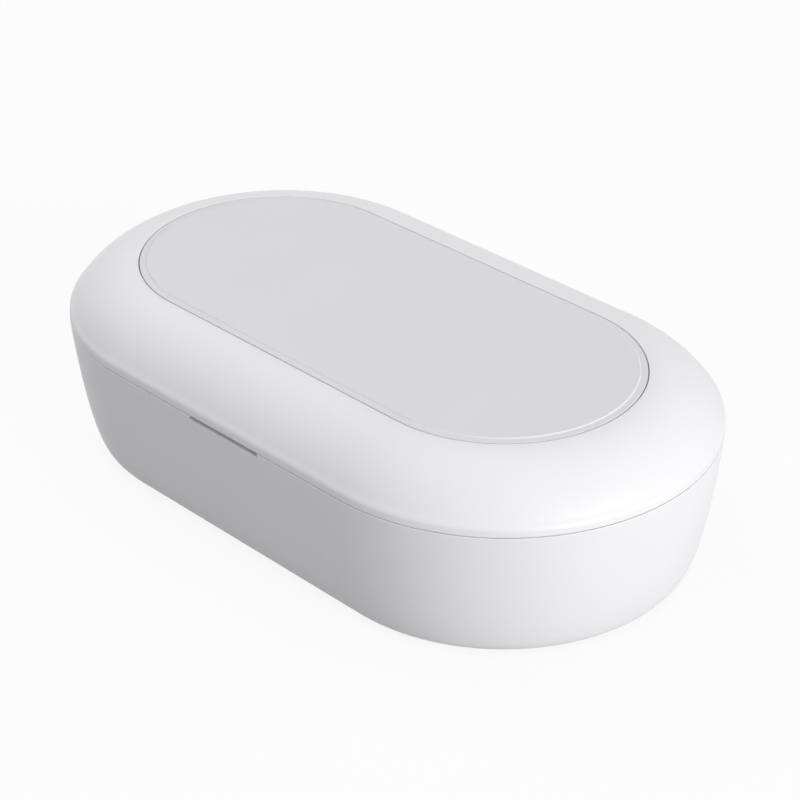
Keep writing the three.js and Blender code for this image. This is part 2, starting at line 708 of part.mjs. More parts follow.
// Circuit board with its fixed parts, all on the upper side
function mainBoard() {
  const board = block(-BOARD_LENGTH / 2, BOARD_LENGTH / 2, boardFront, boardRear, boardUnder, boardTop);
  const holes = boardPostPlaces.map(([x, y]) =>
    postZ(x, y, boardUnder - OVERRUN, boardTop + OVERRUN, holeDiameter));
  const half = BOARD_CHIP_SIZE / 2;
  const chipY = (boardFront + boardRear) / 2;
  const chip = block(
    LENS_X - half, LENS_X + half, chipY - half, chipY + half, boardUnder, boardTop + BOARD_CHIP_HEIGHT,
  );
  const capacitors = sides.map((side) => postZ(
    INLET_X + side * CAPACITOR_DIAMETER, chipY, boardUnder, boardTop + CAPACITOR_HEIGHT, CAPACITOR_DIAMETER,
  ));
  return cut(joined(board, chip, ...capacitors), ...holes);
}

const inletFace = rearWallInside(portHeight - INLET_HEIGHT / 2) - SEAT_GAP;

function flatOval(x, width, height, y0, y1, z) {
  const standing = ovalSolid(width, height, [[0, 0], [0, y1 - y0]]);
  return standing.rotate([90, 0, 0]).translate([x, y1, z]);
}

function powerInlet() {
  const y0 = inletFace - INLET_DEPTH;
  const body = flatOval(INLET_X, INLET_WIDTH, INLET_HEIGHT, y0, inletFace, portHeight);
  const hollow = flatOval(
    INLET_X, INLET_WIDTH - 2 * INLET_WALL, INLET_HEIGHT - 2 * INLET_WALL,
    inletFace - INLET_CAVITY_DEPTH, inletFace + OVERRUN, portHeight,
  );
  const tongue = block(
    INLET_X - INLET_TONGUE_WIDTH / 2, INLET_X + INLET_TONGUE_WIDTH / 2,
    inletFace - INLET_CAVITY_DEPTH - INLET_WALL, inletFace - INLET_TONGUE_HEIGHT,
    portHeight - INLET_TONGUE_HEIGHT / 2, portHeight + INLET_TONGUE_HEIGHT / 2,
  );
  return joined(cut(body, hollow), tongue);
}

// Start button: a cap that follows the wall, ears that keep it in, and a stem to its switch
const earFace = rearWallInside(portHeight - BUTTON_EAR_HEIGHT / 2) - SIDE_GAP;
const earBack = earFace - BUTTON_EAR_THICKNESS;
const switchFace = earBack - SWITCH_SETBACK;

function wallFilled(proud) {
  return caseSolid([...baseOuterLevels(-proud), [-proud, parting]]);
}

function startButton() {
  const capBack = Math.max(boardRear + SIDE_GAP + BUTTON_TRAVEL, earFace);
  const cap = barY(BUTTON_X, capBack, halfWidth + OVERRUN, portHeight, BUTTON_DIAMETER)
    .intersect(wallFilled(BUTTON_PROUD));
  const stemTip = switchFace + PLUNGER_PROUD + SEAT_GAP;
  const stem = barY(BUTTON_X, stemTip, capBack + CASE_WALL / 2, portHeight, BUTTON_STEM_DIAMETER);
  const ears = block(
    BUTTON_X - BUTTON_EAR_SPAN / 2, BUTTON_X + BUTTON_EAR_SPAN / 2, earBack, earFace,
    portHeight - BUTTON_EAR_HEIGHT / 2, portHeight + BUTTON_EAR_HEIGHT / 2,
  );
  return joined(cap, stem, ears);
}

function startSwitch() {
  const body = block(
    BUTTON_X - SWITCH_WIDTH / 2, BUTTON_X + SWITCH_WIDTH / 2, switchFace - SWITCH_DEPTH, switchFace,
    partHeight, partHeight + SWITCH_HEIGHT,
  );
  const boreEnd = switchFace - PLUNGER_DEPTH - BUTTON_TRAVEL - SIDE_GAP;
  return cut(body, barY(
    BUTTON_X, boreEnd, switchFace + OVERRUN, portHeight, PLUNGER_DIAMETER + 2 * SEAT_GAP,
  ));
}

function switchPlunger() {
  return barY(
    BUTTON_X, switchFace - PLUNGER_DEPTH, switchFace + PLUNGER_PROUD, portHeight, PLUNGER_DIAMETER,
  );
}

const lensBack = boardRear - LENS_INNER;

function statusLens() {
  return barY(LENS_X, lensBack, halfWidth + OVERRUN, portHeight, LENS_DIAMETER)
    .intersect(wallFilled(0));
}

function statusLed() {
  const half = STATUS_LED_SIZE / 2;
  return block(
    LENS_X - half, LENS_X + half, lensBack - SEAT_GAP - STATUS_LED_SIZE, lensBack - SEAT_GAP,
    partHeight, portHeight + half,
  );
}

// Lid shell: dome, rim, pocket for the pad, and bosses inside
const lidScrewX = LID_SCREW_SPACING / 2;
const lidScrewY = ovalHalfWidth(lidScrewX, magnetInset);
const lidScrewPlaces = sides.flatMap((sideX) => sides.map((sideY) => [sideX * lidScrewX, sideY * lidScrewY]));
const chargerX0 = ferriteSize / 2 + CHARGER_FERRITE_SPACE;
const chargerX1 = chargerX0 + CHARGER_BOARD_LENGTH;
const chargerY0 = BAR_WIDTH / 2 + CHARGER_LED_SPACE;
const chargerY1 = chargerY0 + CHARGER_BOARD_WIDTH;
const chargerPlaces = [
  [chargerX0 + BOARD_POST_FRONT, chargerY1 - BOARD_POST_FRONT],
  [chargerX1 - BOARD_POST_FRONT, chargerY0 + BOARD_POST_FRONT],
];
const chargerTop = lidCeiling - CHARGER_BOARD_DROP;

function lidShell() {
  const rimUnder = parting + PARTING_GAP / 2;
  const shell = caseSolid([
    ...innerDomeLevels().reverse(),
    [CASE_WALL, rimUnder],
    [EDGE_BREAK, rimUnder],
    [0, rimUnder + EDGE_BREAK],
    ...domeLevels(0),
    [pocketInset, padSeat],
  ]);
  const core = caseSolid([[CASE_WALL / 2, linerTop - OVERRUN], ...domeLevels(CASE_WALL / 2)]);
  const bosses = lidScrewPlaces.map(([x, y]) =>
    postZ(x, y, linerTop + SEAT_GAP, padTop, LID_BOSS_DIAMETER).intersect(core));
  const bossBores = lidScrewPlaces.map(([x, y]) =>
    postZ(x, y, linerUnder, linerUnder + LID_SCREW_LENGTH + SIDE_GAP, holeDiameter));
  const chargerPosts = chargerPlaces.map(([x, y]) =>
    postZ(x, y, chargerTop + SEAT_GAP, lidCeiling + LID_TOP_WALL / 2, BOARD_POST_DIAMETER));
  const chargerBores = chargerPlaces.map(([x, y]) =>
    postZ(x, y, chargerTop, lidCeiling + LID_TOP_WALL / 2, holeDiameter));
  const knuckleRoom = sides.map((side) => {
    const reach = [side * knuckleEnd, side * (HINGE_LENGTH / 2 + BARREL_CLEARANCE)];
    const [x0, x1] = reach.sort((a, b) => a - b);
    return barX(x0, x1, barrelY, parting, BARREL_DIAMETER + 2 * BARREL_CLEARANCE);
  });
  return cut(
    joined(
      cut(joined(shell, ...bosses, ...chargerPosts), ...bossBores, ...chargerBores, ...knuckleRoom),
      knuckle(-knuckleEnd, knuckleEnd),
      lidJaw(),
    ),
    pinBore(),
  );
}

// The pad: a low border, and a small step up to its flat top
function chargingPad() {
  const borderTop = padTop - PAD_STEP_RISE;
  return caseSolid([
    [PAD_INSET, padSeat + SEAT_GAP],
    [PAD_INSET, borderTop],
    [PAD_INSET + PAD_BORDER - PAD_STEP_WIDTH, borderTop],
    [PAD_INSET + PAD_BORDER, padTop],
  ]);
}

const coilTop = lidCeiling - SEAT_GAP;
const ferriteTop = coilTop - COIL_THICKNESS - SEAT_GAP;

function chargingCoil() {
  const hole = postZ(0, 0, coilTop - COIL_THICKNESS - OVERRUN, coilTop + OVERRUN, COIL_INNER_DIAMETER);
  const disc = new THREE.CylinderGeometry(
    COIL_OUTER_DIAMETER / 2, COIL_OUTER_DIAMETER / 2, COIL_THICKNESS, 2 * ROUND_STEPS,
  );
  const place = coilTop - COIL_THICKNESS / 2;
  return cut(solidOf(disc.rotateX(Math.PI / 2).translate(0, 0, place)), hole);
}

function ferriteSheet() {
  const half = ferriteSize / 2;
  return block(-half, half, -half, half, ferriteTop - FERRITE_THICKNESS, ferriteTop);
}

function chargerBoard() {
  const under = chargerTop - CHARGER_BOARD_THICKNESS;
  const board = block(chargerX0, chargerX1, chargerY0, chargerY1, under, chargerTop);
  const holes = chargerPlaces.map(([x, y]) =>
    postZ(x, y, under - OVERRUN, chargerTop + OVERRUN, holeDiameter));
  const middleX = (chargerX0 + chargerX1) / 2;
  const middleY = (chargerY0 + chargerY1) / 2;
  const half = CHARGER_CHIP_SIZE / 2;
  const chips = sides.map((side) => block(
    middleX + side * CHARGER_CHIP_SIZE - half, middleX + side * CHARGER_CHIP_SIZE + half,
    middleY - half, middleY + half, under - CHARGER_CHIP_HEIGHT, chargerTop,
  ));
  return cut(joined(board, ...chips), ...holes);
}

// Liner: the chamber's ceiling, with a lip that drops inside the tray and keeps the light in
function lidLiner() {
  const lipInside = lipInset + LIP_WALL;
  const inside = cornerLevels(
    lipInside, lipInside + LINER_CORNER, linerCeiling - LINER_CORNER, linerCeiling,
  ).reverse();
  const liner = caseSolid([
    ...inside,
    [lipInside, parting - LIP_DEPTH],
    [lipInset, parting - LIP_DEPTH],
    [lipInset, linerUnder],
    [domeInsideInset(linerUnder) + SIDE_GAP, linerUnder],
    [domeInsideInset(linerTop) + SIDE_GAP, linerTop],
    [lipInset, linerTop],
    [lipInside + LINER_CORNER, linerCeilingTop],
  ]);
  const posts = sides.map((side) => postZ(
    side * barPostX, 0, linerCeilingTop - LINER_CEILING_WALL / 2, lidBarUnder - SEAT_GAP, BAR_POST_DIAMETER,
  ));
  const bores = sides.map((side) => postZ(
    side * barPostX, 0, linerCeilingTop - LINER_CEILING_WALL / 2, lidBarUnder + OVERRUN, holeDiameter,
  ));
  const sinks = lidScrewPlaces.map(([x, y]) => countersink(x, y, linerUnder));
  const window = windowOpening(linerCeiling, linerCeilingTop);
  return cut(joined(liner, ...posts), ...bores, ...sinks, window, hingeClearance());
}

function magnet(x, z0) {
  return postZ(x, -ovalHalfWidth(x, magnetInset), z0, z0 + MAGNET_THICKNESS, MAGNET_DIAMETER);
}

function lidSensor() {
  const z = flangeUnder - SEAT_GAP - SENSOR_DIAMETER / 2;
  const y = -ovalHalfWidth(0, magnetInset);
  return barX(-SENSOR_LENGTH / 2, SENSOR_LENGTH / 2, y, z, SENSOR_DIAMETER);
}

// The assembly, with its origin under the middle of its bounding box
const box = new THREE.Group();
const base = new THREE.Group();
const lid = new THREE.Group();
const button = new THREE.Group();
box.add(base, lid, button);
box.position.y = -barrelRadius / 2;

function addPiece(group, name, solid, material) {
  const mesh = new THREE.Mesh(geometryOf(solid), material);
  mesh.name = name;
  group.add(mesh);
  return mesh;
}

function addScrew(group, name, solid, x, y, z, turned = false) {
  const mesh = addPiece(group, name, solid, steel);
  mesh.position.set(x, y, z);
  mesh.rotation.x = turned ? Math.PI : 0;
}

const depthNames = { [-1]: 'front', 1: 'rear' };
const sideNames = { [-1]: 'left', 1: 'right' };

function cornerName(prefix, x, y) {
  return `${prefix}_${depthNames[Math.sign(y)]}_${sideNames[Math.sign(x)]}`;
}

addPiece(base, 'base_shell', baseShell(), caseWhite);
addPiece(base, 'inner_tray', innerTray(), linerWhite);
addPiece(base, 'bottom_cover', bottomCover(), coverGrey);
addPiece(base, 'hinge_pin', hingePin(), steel);

const coverHeadSeat = underside + COVER_BOSS_HEIGHT;
const coverScrew = screw(trayUnder - RIB_SINK - SIDE_GAP - coverHeadSeat);
footPlaces.forEach(([x, y]) => {
  addPiece(base, cornerName('foot', x, y), foot(x, y), rubberGrey);
  addScrew(base, cornerName('cover_screw', x, y), coverScrew, x, y, coverHeadSeat - SEAT_GAP);
});

addPiece(base, 'main_board', mainBoard(), boardGreen);
addPiece(base, 'usb_c_inlet', powerInlet(), steel);
addPiece(base, 'start_switch', startSwitch(), partBlack);
addPiece(base, 'status_led', statusLed(), boardWhite);
addPiece(base, 'status_lens', statusLens(), lensClear);
const boardMiddle = (boardFront + boardRear) / 2;
const boardScrew = screw(BOARD_THICKNESS + SCREW_GRIP);
boardPostPlaces.forEach(([x, y]) => {
  const edge = cornerName('board_screw', x, y - boardMiddle);
  addScrew(base, edge, boardScrew, x, y, boardUnder - SEAT_GAP);
});

addPiece(base, 'base_window', windowPane(baseWindowTop - WINDOW_THICKNESS), clearQuartz);
addPiece(base, 'base_light_bar', lightBar(baseBarTop - BAR_THICKNESS), boardWhite);
addPiece(lid, 'lid_window', windowPane(lidWindowUnder), clearQuartz);
addPiece(lid, 'lid_light_bar', lightBar(lidBarUnder), boardWhite);
ledXs.forEach((x, i) => {
  addPiece(base, `base_uv_led_${i + 1}`, emitter(x, baseLedTop - LED_HEIGHT, true), ledCeramic);
  addPiece(lid, `lid_uv_led_${i + 1}`, emitter(x, lidLedUnder, false), ledCeramic);
});
const barScrew = screw(BAR_THICKNESS + TRAY_WALL + SEAT_GAP);
const lidBarScrew = screw(BAR_THICKNESS + LED_HEIGHT + SEAT_GAP);
sides.forEach((side) => {
  const name = sideNames[side];
  const x = side * barPostX;
  addScrew(base, `base_bar_screw_${name}`, barScrew, x, 0, baseBarTop - BAR_THICKNESS - SEAT_GAP);
  addScrew(lid, `lid_bar_screw_${name}`, lidBarScrew, x, 0, lidBarUnder + BAR_THICKNESS + SEAT_GAP, true);
  const magnetX = side * MAGNET_SPACING / 2;
  addPiece(base, `base_magnet_${name}`, magnet(magnetX, flangeUnder - SEAT_GAP - MAGNET_THICKNESS), steel);
  addPiece(lid, `lid_magnet_${name}`, magnet(magnetX, linerTop + SEAT_GAP), steel);
});
addPiece(base, 'lid_sensor', lidSensor(), partBlack);

addPiece(lid, 'lid_shell', lidShell(), caseWhite);
addPiece(lid, 'charging_pad', chargingPad(), padWhite);
addPiece(lid, 'charging_coil', chargingCoil(), copper);
addPiece(lid, 'ferrite_sheet', ferriteSheet(), ferriteBlack);
addPiece(lid, 'charger_board', chargerBoard(), boardGreen);
addPiece(lid, 'lid_liner', lidLiner(), linerWhite);
const lidScrew = countersunkScrew(LID_SCREW_LENGTH);
lidScrewPlaces.forEach(([x, y]) => {
  addScrew(lid, cornerName('lid_screw', x, y), lidScrew, x, y, linerUnder);
});
const chargerScrew = screw(CHARGER_BOARD_THICKNESS + CHARGER_BOARD_DROP);
chargerPlaces.forEach(([x, y], i) => {
  const under = chargerTop - CHARGER_BOARD_THICKNESS - SEAT_GAP;
  addScrew(lid, `charger_screw_${i + 1}`, chargerScrew, x, y, under);
});

addPiece(button, 'start_button', startButton(), caseWhite);
addPiece(button, 'switch_plunger', switchPlunger(), partBlack);

export default box;
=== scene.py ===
"""The looks of an oval, white UV-C sanitizer box with a charging pad in its hinged lid.

Metres, +Z up, +X along the box, -Y at the front. Sizes are written in millimetres, times MM.
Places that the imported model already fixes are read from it.
"""

import json
import math
from collections import namedtuple

import bmesh
import bpy
from mathutils import Matrix, Vector


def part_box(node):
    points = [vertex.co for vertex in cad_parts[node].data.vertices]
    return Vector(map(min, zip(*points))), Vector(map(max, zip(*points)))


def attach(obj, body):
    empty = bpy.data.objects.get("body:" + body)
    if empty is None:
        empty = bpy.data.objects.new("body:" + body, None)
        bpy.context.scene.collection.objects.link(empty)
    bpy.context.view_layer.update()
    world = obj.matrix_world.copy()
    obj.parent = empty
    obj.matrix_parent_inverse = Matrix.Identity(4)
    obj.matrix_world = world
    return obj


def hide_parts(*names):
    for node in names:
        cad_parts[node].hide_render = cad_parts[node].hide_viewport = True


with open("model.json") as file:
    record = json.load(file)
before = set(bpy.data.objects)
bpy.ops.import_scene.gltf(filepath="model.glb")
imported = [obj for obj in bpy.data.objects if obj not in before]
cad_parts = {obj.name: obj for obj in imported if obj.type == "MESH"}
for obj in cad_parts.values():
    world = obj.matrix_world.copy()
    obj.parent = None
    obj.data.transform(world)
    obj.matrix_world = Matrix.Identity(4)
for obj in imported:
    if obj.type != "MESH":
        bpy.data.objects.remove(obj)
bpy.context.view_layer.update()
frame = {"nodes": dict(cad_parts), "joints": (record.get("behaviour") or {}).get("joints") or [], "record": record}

MM = 0.001
SIDES = (-1, 1)

# Wall of the case
CASE_WALL = 2.2 * MM
BASE_BOTTOM_INSET = 7.2 * MM
BASE_WALL_HANDLE_DROP = 18.5 * MM
BASE_WALL_HANDLE_INSET = 1.4 * MM
BASE_CORNER_HANDLE = 2.8 * MM
LID_HEIGHT = 13.9 * MM
LID_RIM_HEIGHT = 1.8 * MM
LID_RIM_DRAFT = 0.28 * MM
RIM_BAND_INSET = LID_RIM_DRAFT / 2
RIM_FOOT_INSET = LID_RIM_DRAFT / 4
LID_SHOULDER_RISE = 6.5 * MM
LID_SHOULDER_INSET = 3.6 * MM
LID_CROWN_HANDLE = 7.2 * MM
SEAM = 0.2 * MM
RIM_RADIUS = 0.2 * MM
RIM_STRAIGHT = 1.5 * MM
RIM_BLEND = 2.2 * MM
RIM_BLEND_HANDLE = 0.9 * MM
RIM_BLEND_OVERLAP = RIM_BLEND / 4
EDGE_RADIUS = 0.2 * MM
SIDE_GAP = 0.3 * MM
SEAT_GAP = 0.2 * MM

# Finger notch through the front edge
NOTCH_LENGTH = 27 * MM
NOTCH_HEIGHT = 1 * MM

# Charging pad
PAD_BORDER = 2.1 * MM
PAD_STEP_RISE = 0.3 * MM
PAD_STEP_WIDTH = 0.35 * MM
PAD_STEP_RADIUS = 0.14 * MM

# Hinge
BARREL_RADIUS = 2.8 * MM
BARREL_CLEARANCE = 0.4 * MM
HINGE_HALF_LENGTH = 30 * MM
KNUCKLE_HALF_LENGTH = 12 * MM
KNUCKLE_GAP = 0.3 * MM
JAW_LENGTH = 1.5 * MM
JAW_DEGREES = 120
JAW_PLAY_DEGREES = 5
PIN_RADIUS = 1 * MM
PIN_EDGE = 0.3 * MM
BORE_RADIUS = 1.1 * MM

# Underside of the base
COVER_LEDGE = 4 * MM
COVER_THICKNESS = 2 * MM
LEDGE_THICKNESS = 1.6 * MM
COVER_BOSS_RADIUS = 4.6 * MM
COVER_BOSS_HEIGHT = 2.8 * MM
HEAD_POCKET_RADIUS = 2.4 * MM
VENT_COUNT = 6
VENT_SPACING = 5 * MM
VENT_HALF_LENGTH = 11 * MM
VENT_HALF_WIDTH = 1 * MM
FOOT_RADIUS = 6 * MM
FOOT_EDGE = 0.5 * MM
FOOT_RING_RADIUS = 4.3 * MM
FOOT_RING_WIDTH = 0.5 * MM

# Chamber: the tray in the base and the ceiling in the lid
SHELF_WIDTH = 1.4 * MM
SHELF_HEIGHT = 1.6 * MM
TRAY_WALL = 1.6 * MM
TRAY_FLANGE_WIDTH = 8.1 * MM
TRAY_DRAFT = 1.6 * MM
TRAY_CORNER = 6 * MM
CHAMBER_DEPTH = 23.6 * MM
RIB_COUNT = 5
RIB_SPACING = 27 * MM
RIB_START = 9.5 * MM
RIB_LENGTH = 25 * MM
RIB_WIDTH = 2 * MM
RIB_HEIGHT = 3 * MM
RIB_EDGE = 0.7 * MM
LEG_RADIUS = 3.5 * MM
SCREW_HOLE_RADIUS = 1.2 * MM
BOARD_POST_RADIUS = 2.3 * MM
BOARD_POST_HEIGHT = 4.4 * MM
BAR_POST_RADIUS = 2.5 * MM
LINER_WALL = 1.6 * MM
LINER_CEILING_WALL = 1.4 * MM
LINER_CORNER = 2.4 * MM
LIP_WALL = 1.4 * MM
LIP_GAP = 0.4 * MM
LIP_EDGE = 0.4 * MM

# Lamps
WINDOW_BORDER = 3 * MM
WINDOW_EASE = 0.5 * MM
PANE_CHAMFER = 0.15 * MM
BOARD_EDGE = 0.1 * MM
EMITTER_EDGE = 0.12 * MM
EMITTER_WELL_DEPTH = 0.4 * MM
EMITTER_LENS_RADIUS = 1.5 * MM
EMITTER_LENS_HEIGHT = 0.25 * MM
EMITTER_LENS_SIDE = 0.08 * MM
DIE_SIZE = 1.2 * MM
DIE_HEIGHT = 0.2 * MM
DIE_EDGE = 0.025 * MM
EMITTERS_PER_BAR = 4

# Screws
SHANK_RADIUS = 1 * MM
THREAD_ROOT = 0.72 * MM
THREAD_PITCH = 0.6 * MM
POINT_LENGTH = 0.5 * MM
HEAD_RADIUS = 2.1 * MM
HEAD_HEIGHT = 1.2 * MM
HEAD_DOME = 0.5 * MM
COUNTERSUNK_RIM = 0.1 * MM
SINK_MARGIN = 0.2 * MM
CROSS_REACH = 1.25 * MM
CROSS_WIDTH = 0.5 * MM
CROSS_DEPTH = 0.75 * MM

# Start button, its switch and the status light
BUTTON_TRAVEL = 0.6 * MM
BUTTON_RADIUS = 3.5 * MM
BUTTON_PROUD = 0.7 * MM
BUTTON_DISH = 0.3 * MM
BUTTON_EDGE = 0.6 * MM
STEM_RADIUS = 1.5 * MM
EAR_HALF_SPAN = 5.2 * MM
EAR_HALF_HEIGHT = 1.45 * MM
EAR_THICKNESS = 1.3 * MM
SWITCH_EDGE = 0.25 * MM
SWITCH_BORE_RADIUS = 1.4 * MM
SWITCH_BORE_DEPTH = 1.7 * MM
PLUNGER_EDGE = 0.4 * MM
LENS_RADIUS = 1.4 * MM
STATUS_WINDOW_RADIUS = 0.7 * MM
STATUS_WINDOW_DEPTH = 0.2 * MM

# Power inlet and its port
PORT_HALF_WIDTH = 6.1 * MM
PORT_HALF_HEIGHT = 3.2 * MM
PORT_FLARE = 0.35 * MM
INLET_HALF_WIDTH = 4.5 * MM
INLET_HALF_HEIGHT = 1.6 * MM
INLET_WALL = 0.35 * MM
INLET_LIP = 0.16 * MM
INLET_CAVITY = 6.2 * MM
TONGUE_HALF_WIDTH = 3.3 * MM
TONGUE_HALF_HEIGHT = 0.35 * MM
TONGUE_SETBACK = 0.7 * MM
CONTACT_COUNT = 12
CONTACT_PITCH = 0.5 * MM
CONTACT_WIDTH = 0.25 * MM
CONTACT_LENGTH = 4 * MM
CONTACT_PROUD = 0.02 * MM

# Boards and what is on them
BOARD_THICKNESS = 1.6 * MM
BOARD_CHIP_SIZE = 8 * MM
BOARD_CHIP_HEIGHT = 1.2 * MM
CHARGER_BOARD_THICKNESS = 1 * MM
CHARGER_CHIP_SIZE = 6 * MM
CHARGER_CHIP_HEIGHT = 1 * MM
CHIP_EDGE = 0.15 * MM
LEG_PITCH = 1.27 * MM
LEG_WIDTH = 0.45 * MM
LEG_THICKNESS = 0.2 * MM
LEG_REACH = 0.9 * MM
CAN_SEAT_HALF = 2.4 * MM
CAN_SEAT_HEIGHT = 0.7 * MM
CAN_RADIUS = 2.3 * MM
CAN_HEIGHT = 2.9 * MM
CAN_ROLL = 0.35 * MM
CAN_DIMPLE = 0.1 * MM
CAN_SPACING = 10 * MM
HOLE_RING_RADIUS = 1.9 * MM
HOLE_PLATING = 0.04 * MM
COIL_INNER_RADIUS = 10 * MM
COIL_TURNS = 13
VARNISH_GAP = 0.02 * MM
SENSOR_EDGE = 0.7 * MM
MAGNET_EDGE = 0.25 * MM

# Cuts run past the faces that they open by this much
OVERRUN = 5 * MM

# Vertices closer than this are one, and a missing facet has at most this many sides
WELD = 0.002 * MM
FACET_SIDES = 4

# Steps of curves
ARC_STEPS = 72
STRAIGHT_STEPS = 24
PROFILE_STEPS = 36
BLEND_STEPS = 10
CORNER_STEPS = 10
FILLET_STEPS = 5
BLOCK_EDGE_STEPS = 2
RIB_EDGE_STEPS = 4
EASE_STEPS = 3
ROUND_STEPS = 64
SMALL_STEPS = 32
LENS_STEPS = 8
CAP_RINGS = 14
COIL_STEPS = 72
WIRE_SIDES = 10
SMOOTH_ANGLE = math.radians(32)

# A rounded corner uses up at most this share of the shorter side beside it
CORNER_SHARE = 0.45

# The shape of a bevel that is a quarter round
ROUND_BEVEL = 0.5

# A small CAD node's middle in x and y, and its lowest and highest z
Spot = namedtuple("Spot", "node x y low high")


def spot_of(node):
    """Where a CAD node stands"""
    low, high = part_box(node)
    return Spot(node, (low.x + high.x) / 2, (low.y + high.y) / 2, low.z, high.z)


def spots_of(prefix):
    """Where the CAD nodes stand whose names start with a prefix"""
    return [spot_of(node) for node in sorted(frame["nodes"]) if node.startswith(prefix)]


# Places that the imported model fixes
hinge = next(joint for joint in frame["joints"] if joint["name"] == "lid_hinge")
hinge_y, parting = hinge["pos_m"][1], hinge["pos_m"][2]
pad_low, pad_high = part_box("charging_pad")
shell_low, shell_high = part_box("lid_shell")
liner_low, liner_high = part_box("lid_liner")
cover_low, cover_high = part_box("bottom_cover")
board_low, board_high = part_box("main_board")
inlet_low, inlet_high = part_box("usb_c_inlet")
pane_low, pane_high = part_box("base_window")
button_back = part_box("start_button")[0].y
lens_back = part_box("status_lens")[0].y
frame_slots = {part["node"]: part["material_slot"] for part in frame["record"]["subparts"]}

middle_y = (pad_low.y + pad_high.y) / 2
half_length = shell_high.x
half_width = middle_y - shell_low.y
pad_inset = half_length - pad_high.x
cover_inset = half_length - cover_high.x
button_x = spot_of("start_button").x
lens_x = spot_of("status_lens").x
inlet_x = spot_of("usb_c_inlet").x
port_z = (inlet_low.z + inlet_high.z) / 2

# Heights and insets that follow from them
rim_top = parting - SEAM / 2
rim_under = parting + SEAM / 2
underside = cover_low.z
cover_seat = underside + COVER_THICKNESS + SEAT_GAP
ledge_top = cover_seat + LEDGE_THICKNESS
flange_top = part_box("inner_tray")[1].z
flange_under = flange_top - TRAY_WALL
shelf_top = flange_under - SEAT_GAP
flange_inset = CASE_WALL + SIDE_GAP
chamber_inset = flange_inset + TRAY_FLANGE_WIDTH
tray_floor = flange_top - CHAMBER_DEPTH
tray_under = tray_floor - TRAY_WALL
bar_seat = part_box("base_light_bar")[1].z + SEAT_GAP
leg_foot = cover_seat + COVER_BOSS_HEIGHT
post_foot = tray_under - BOARD_POST_HEIGHT
liner_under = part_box("lid_screw_front_left")[0].z
liner_top = liner_under + LINER_WALL
ceiling_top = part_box("lid_window")[0].z - SEAT_GAP
ceiling = ceiling_top - LINER_CEILING_WALL
cap_back = board_high.y + SIDE_GAP + BUTTON_TRAVEL


# Outlines and profiles


def oval(half_long, half_wide, arc_steps, straight_steps=1):
    """A straight-sided oval, counter-clockwise from the lower right"""
    straight = half_long - half_wide
    points = []
    for side in (1, -1):
        for step in range(arc_steps + 1):
            angle = math.radians(180 * step / arc_steps - 90)
            along, across = straight + half_wide * math.cos(angle), half_wide * math.sin(angle)
            points.append((side * along, side * across))
        for step in range(1, straight_steps):
            points.append((side * straight * (1 - 2 * step / straight_steps), side * half_wide))
    return points


def circle(radius, steps):
    """A circle's points, counter-clockwise from its right"""
    angles = [2 * math.pi * step / steps for step in range(steps)]
    return [(radius * math.cos(angle), radius * math.sin(angle)) for angle in angles]


def bezier(start, first, second, end, steps):
    """Points of a cubic curve in a profile, both ends included"""
    points = []
    for step in range(steps + 1):
        t = step / steps
        weights = ((1 - t) ** 3, 3 * t * (1 - t) ** 2, 3 * t * t * (1 - t), t ** 3)
        corners = (start, first, second, end)
        points.append(tuple(sum(w * c[axis] for w, c in zip(weights, corners)) for axis in (0, 1)))
    return points


def base_curve():
    """The base's outer wall as (inset, height), from the underside up to the parting line"""
    depth = parting - underside
    return bezier(
        (BASE_BOTTOM_INSET, underside),
        (BASE_BOTTOM_INSET - BASE_CORNER_HANDLE, underside),
        (BASE_WALL_HANDLE_INSET, underside + depth - BASE_WALL_HANDLE_DROP),
        (0, parting),
        PROFILE_STEPS,
    )


def lid_curve():
    """The lid's dome as (inset, height), from above the rim band up to the pad's pocket"""
    pocket = pad_inset - SIDE_GAP
    return bezier(
        (LID_RIM_DRAFT, parting + LID_RIM_HEIGHT),
        (LID_RIM_DRAFT + LID_SHOULDER_INSET, parting + LID_RIM_HEIGHT + LID_SHOULDER_RISE),
        (pocket - LID_CROWN_HANDLE, parting + LID_HEIGHT),
        (pocket, parting + LID_HEIGHT),
        PROFILE_STEPS,
    )


def offset_curve(points, distance):
    """A profile curve moved square to itself, towards the inside of the case"""
    moved = []
    for index, (inset, z) in enumerate(points):
        before = points[max(index - 1, 0)]
        after = points[min(index + 1, len(points) - 1)]
        along = Vector((after[0] - before[0], after[1] - before[1])).normalized()
        moved.append((inset + along.y * distance, z - along.x * distance))
    return moved


def inset_at(points, z):
    """The inset of a rising profile curve at a height"""
    for low, high in zip(points, points[1:]):
        if low[1] <= z <= high[1]:
            return low[0] + (high[0] - low[0]) * (z - low[1]) / (high[1] - low[1])
    return points[-1][0] if z > points[-1][1] else points[0][0]


def between(points, low, high):
    """The points of a rising profile curve between two heights, ends worked out"""
    inner = [point for point in points if low < point[1] < high]
    return [(inset_at(points, low), low), *inner, (inset_at(points, high), high)]


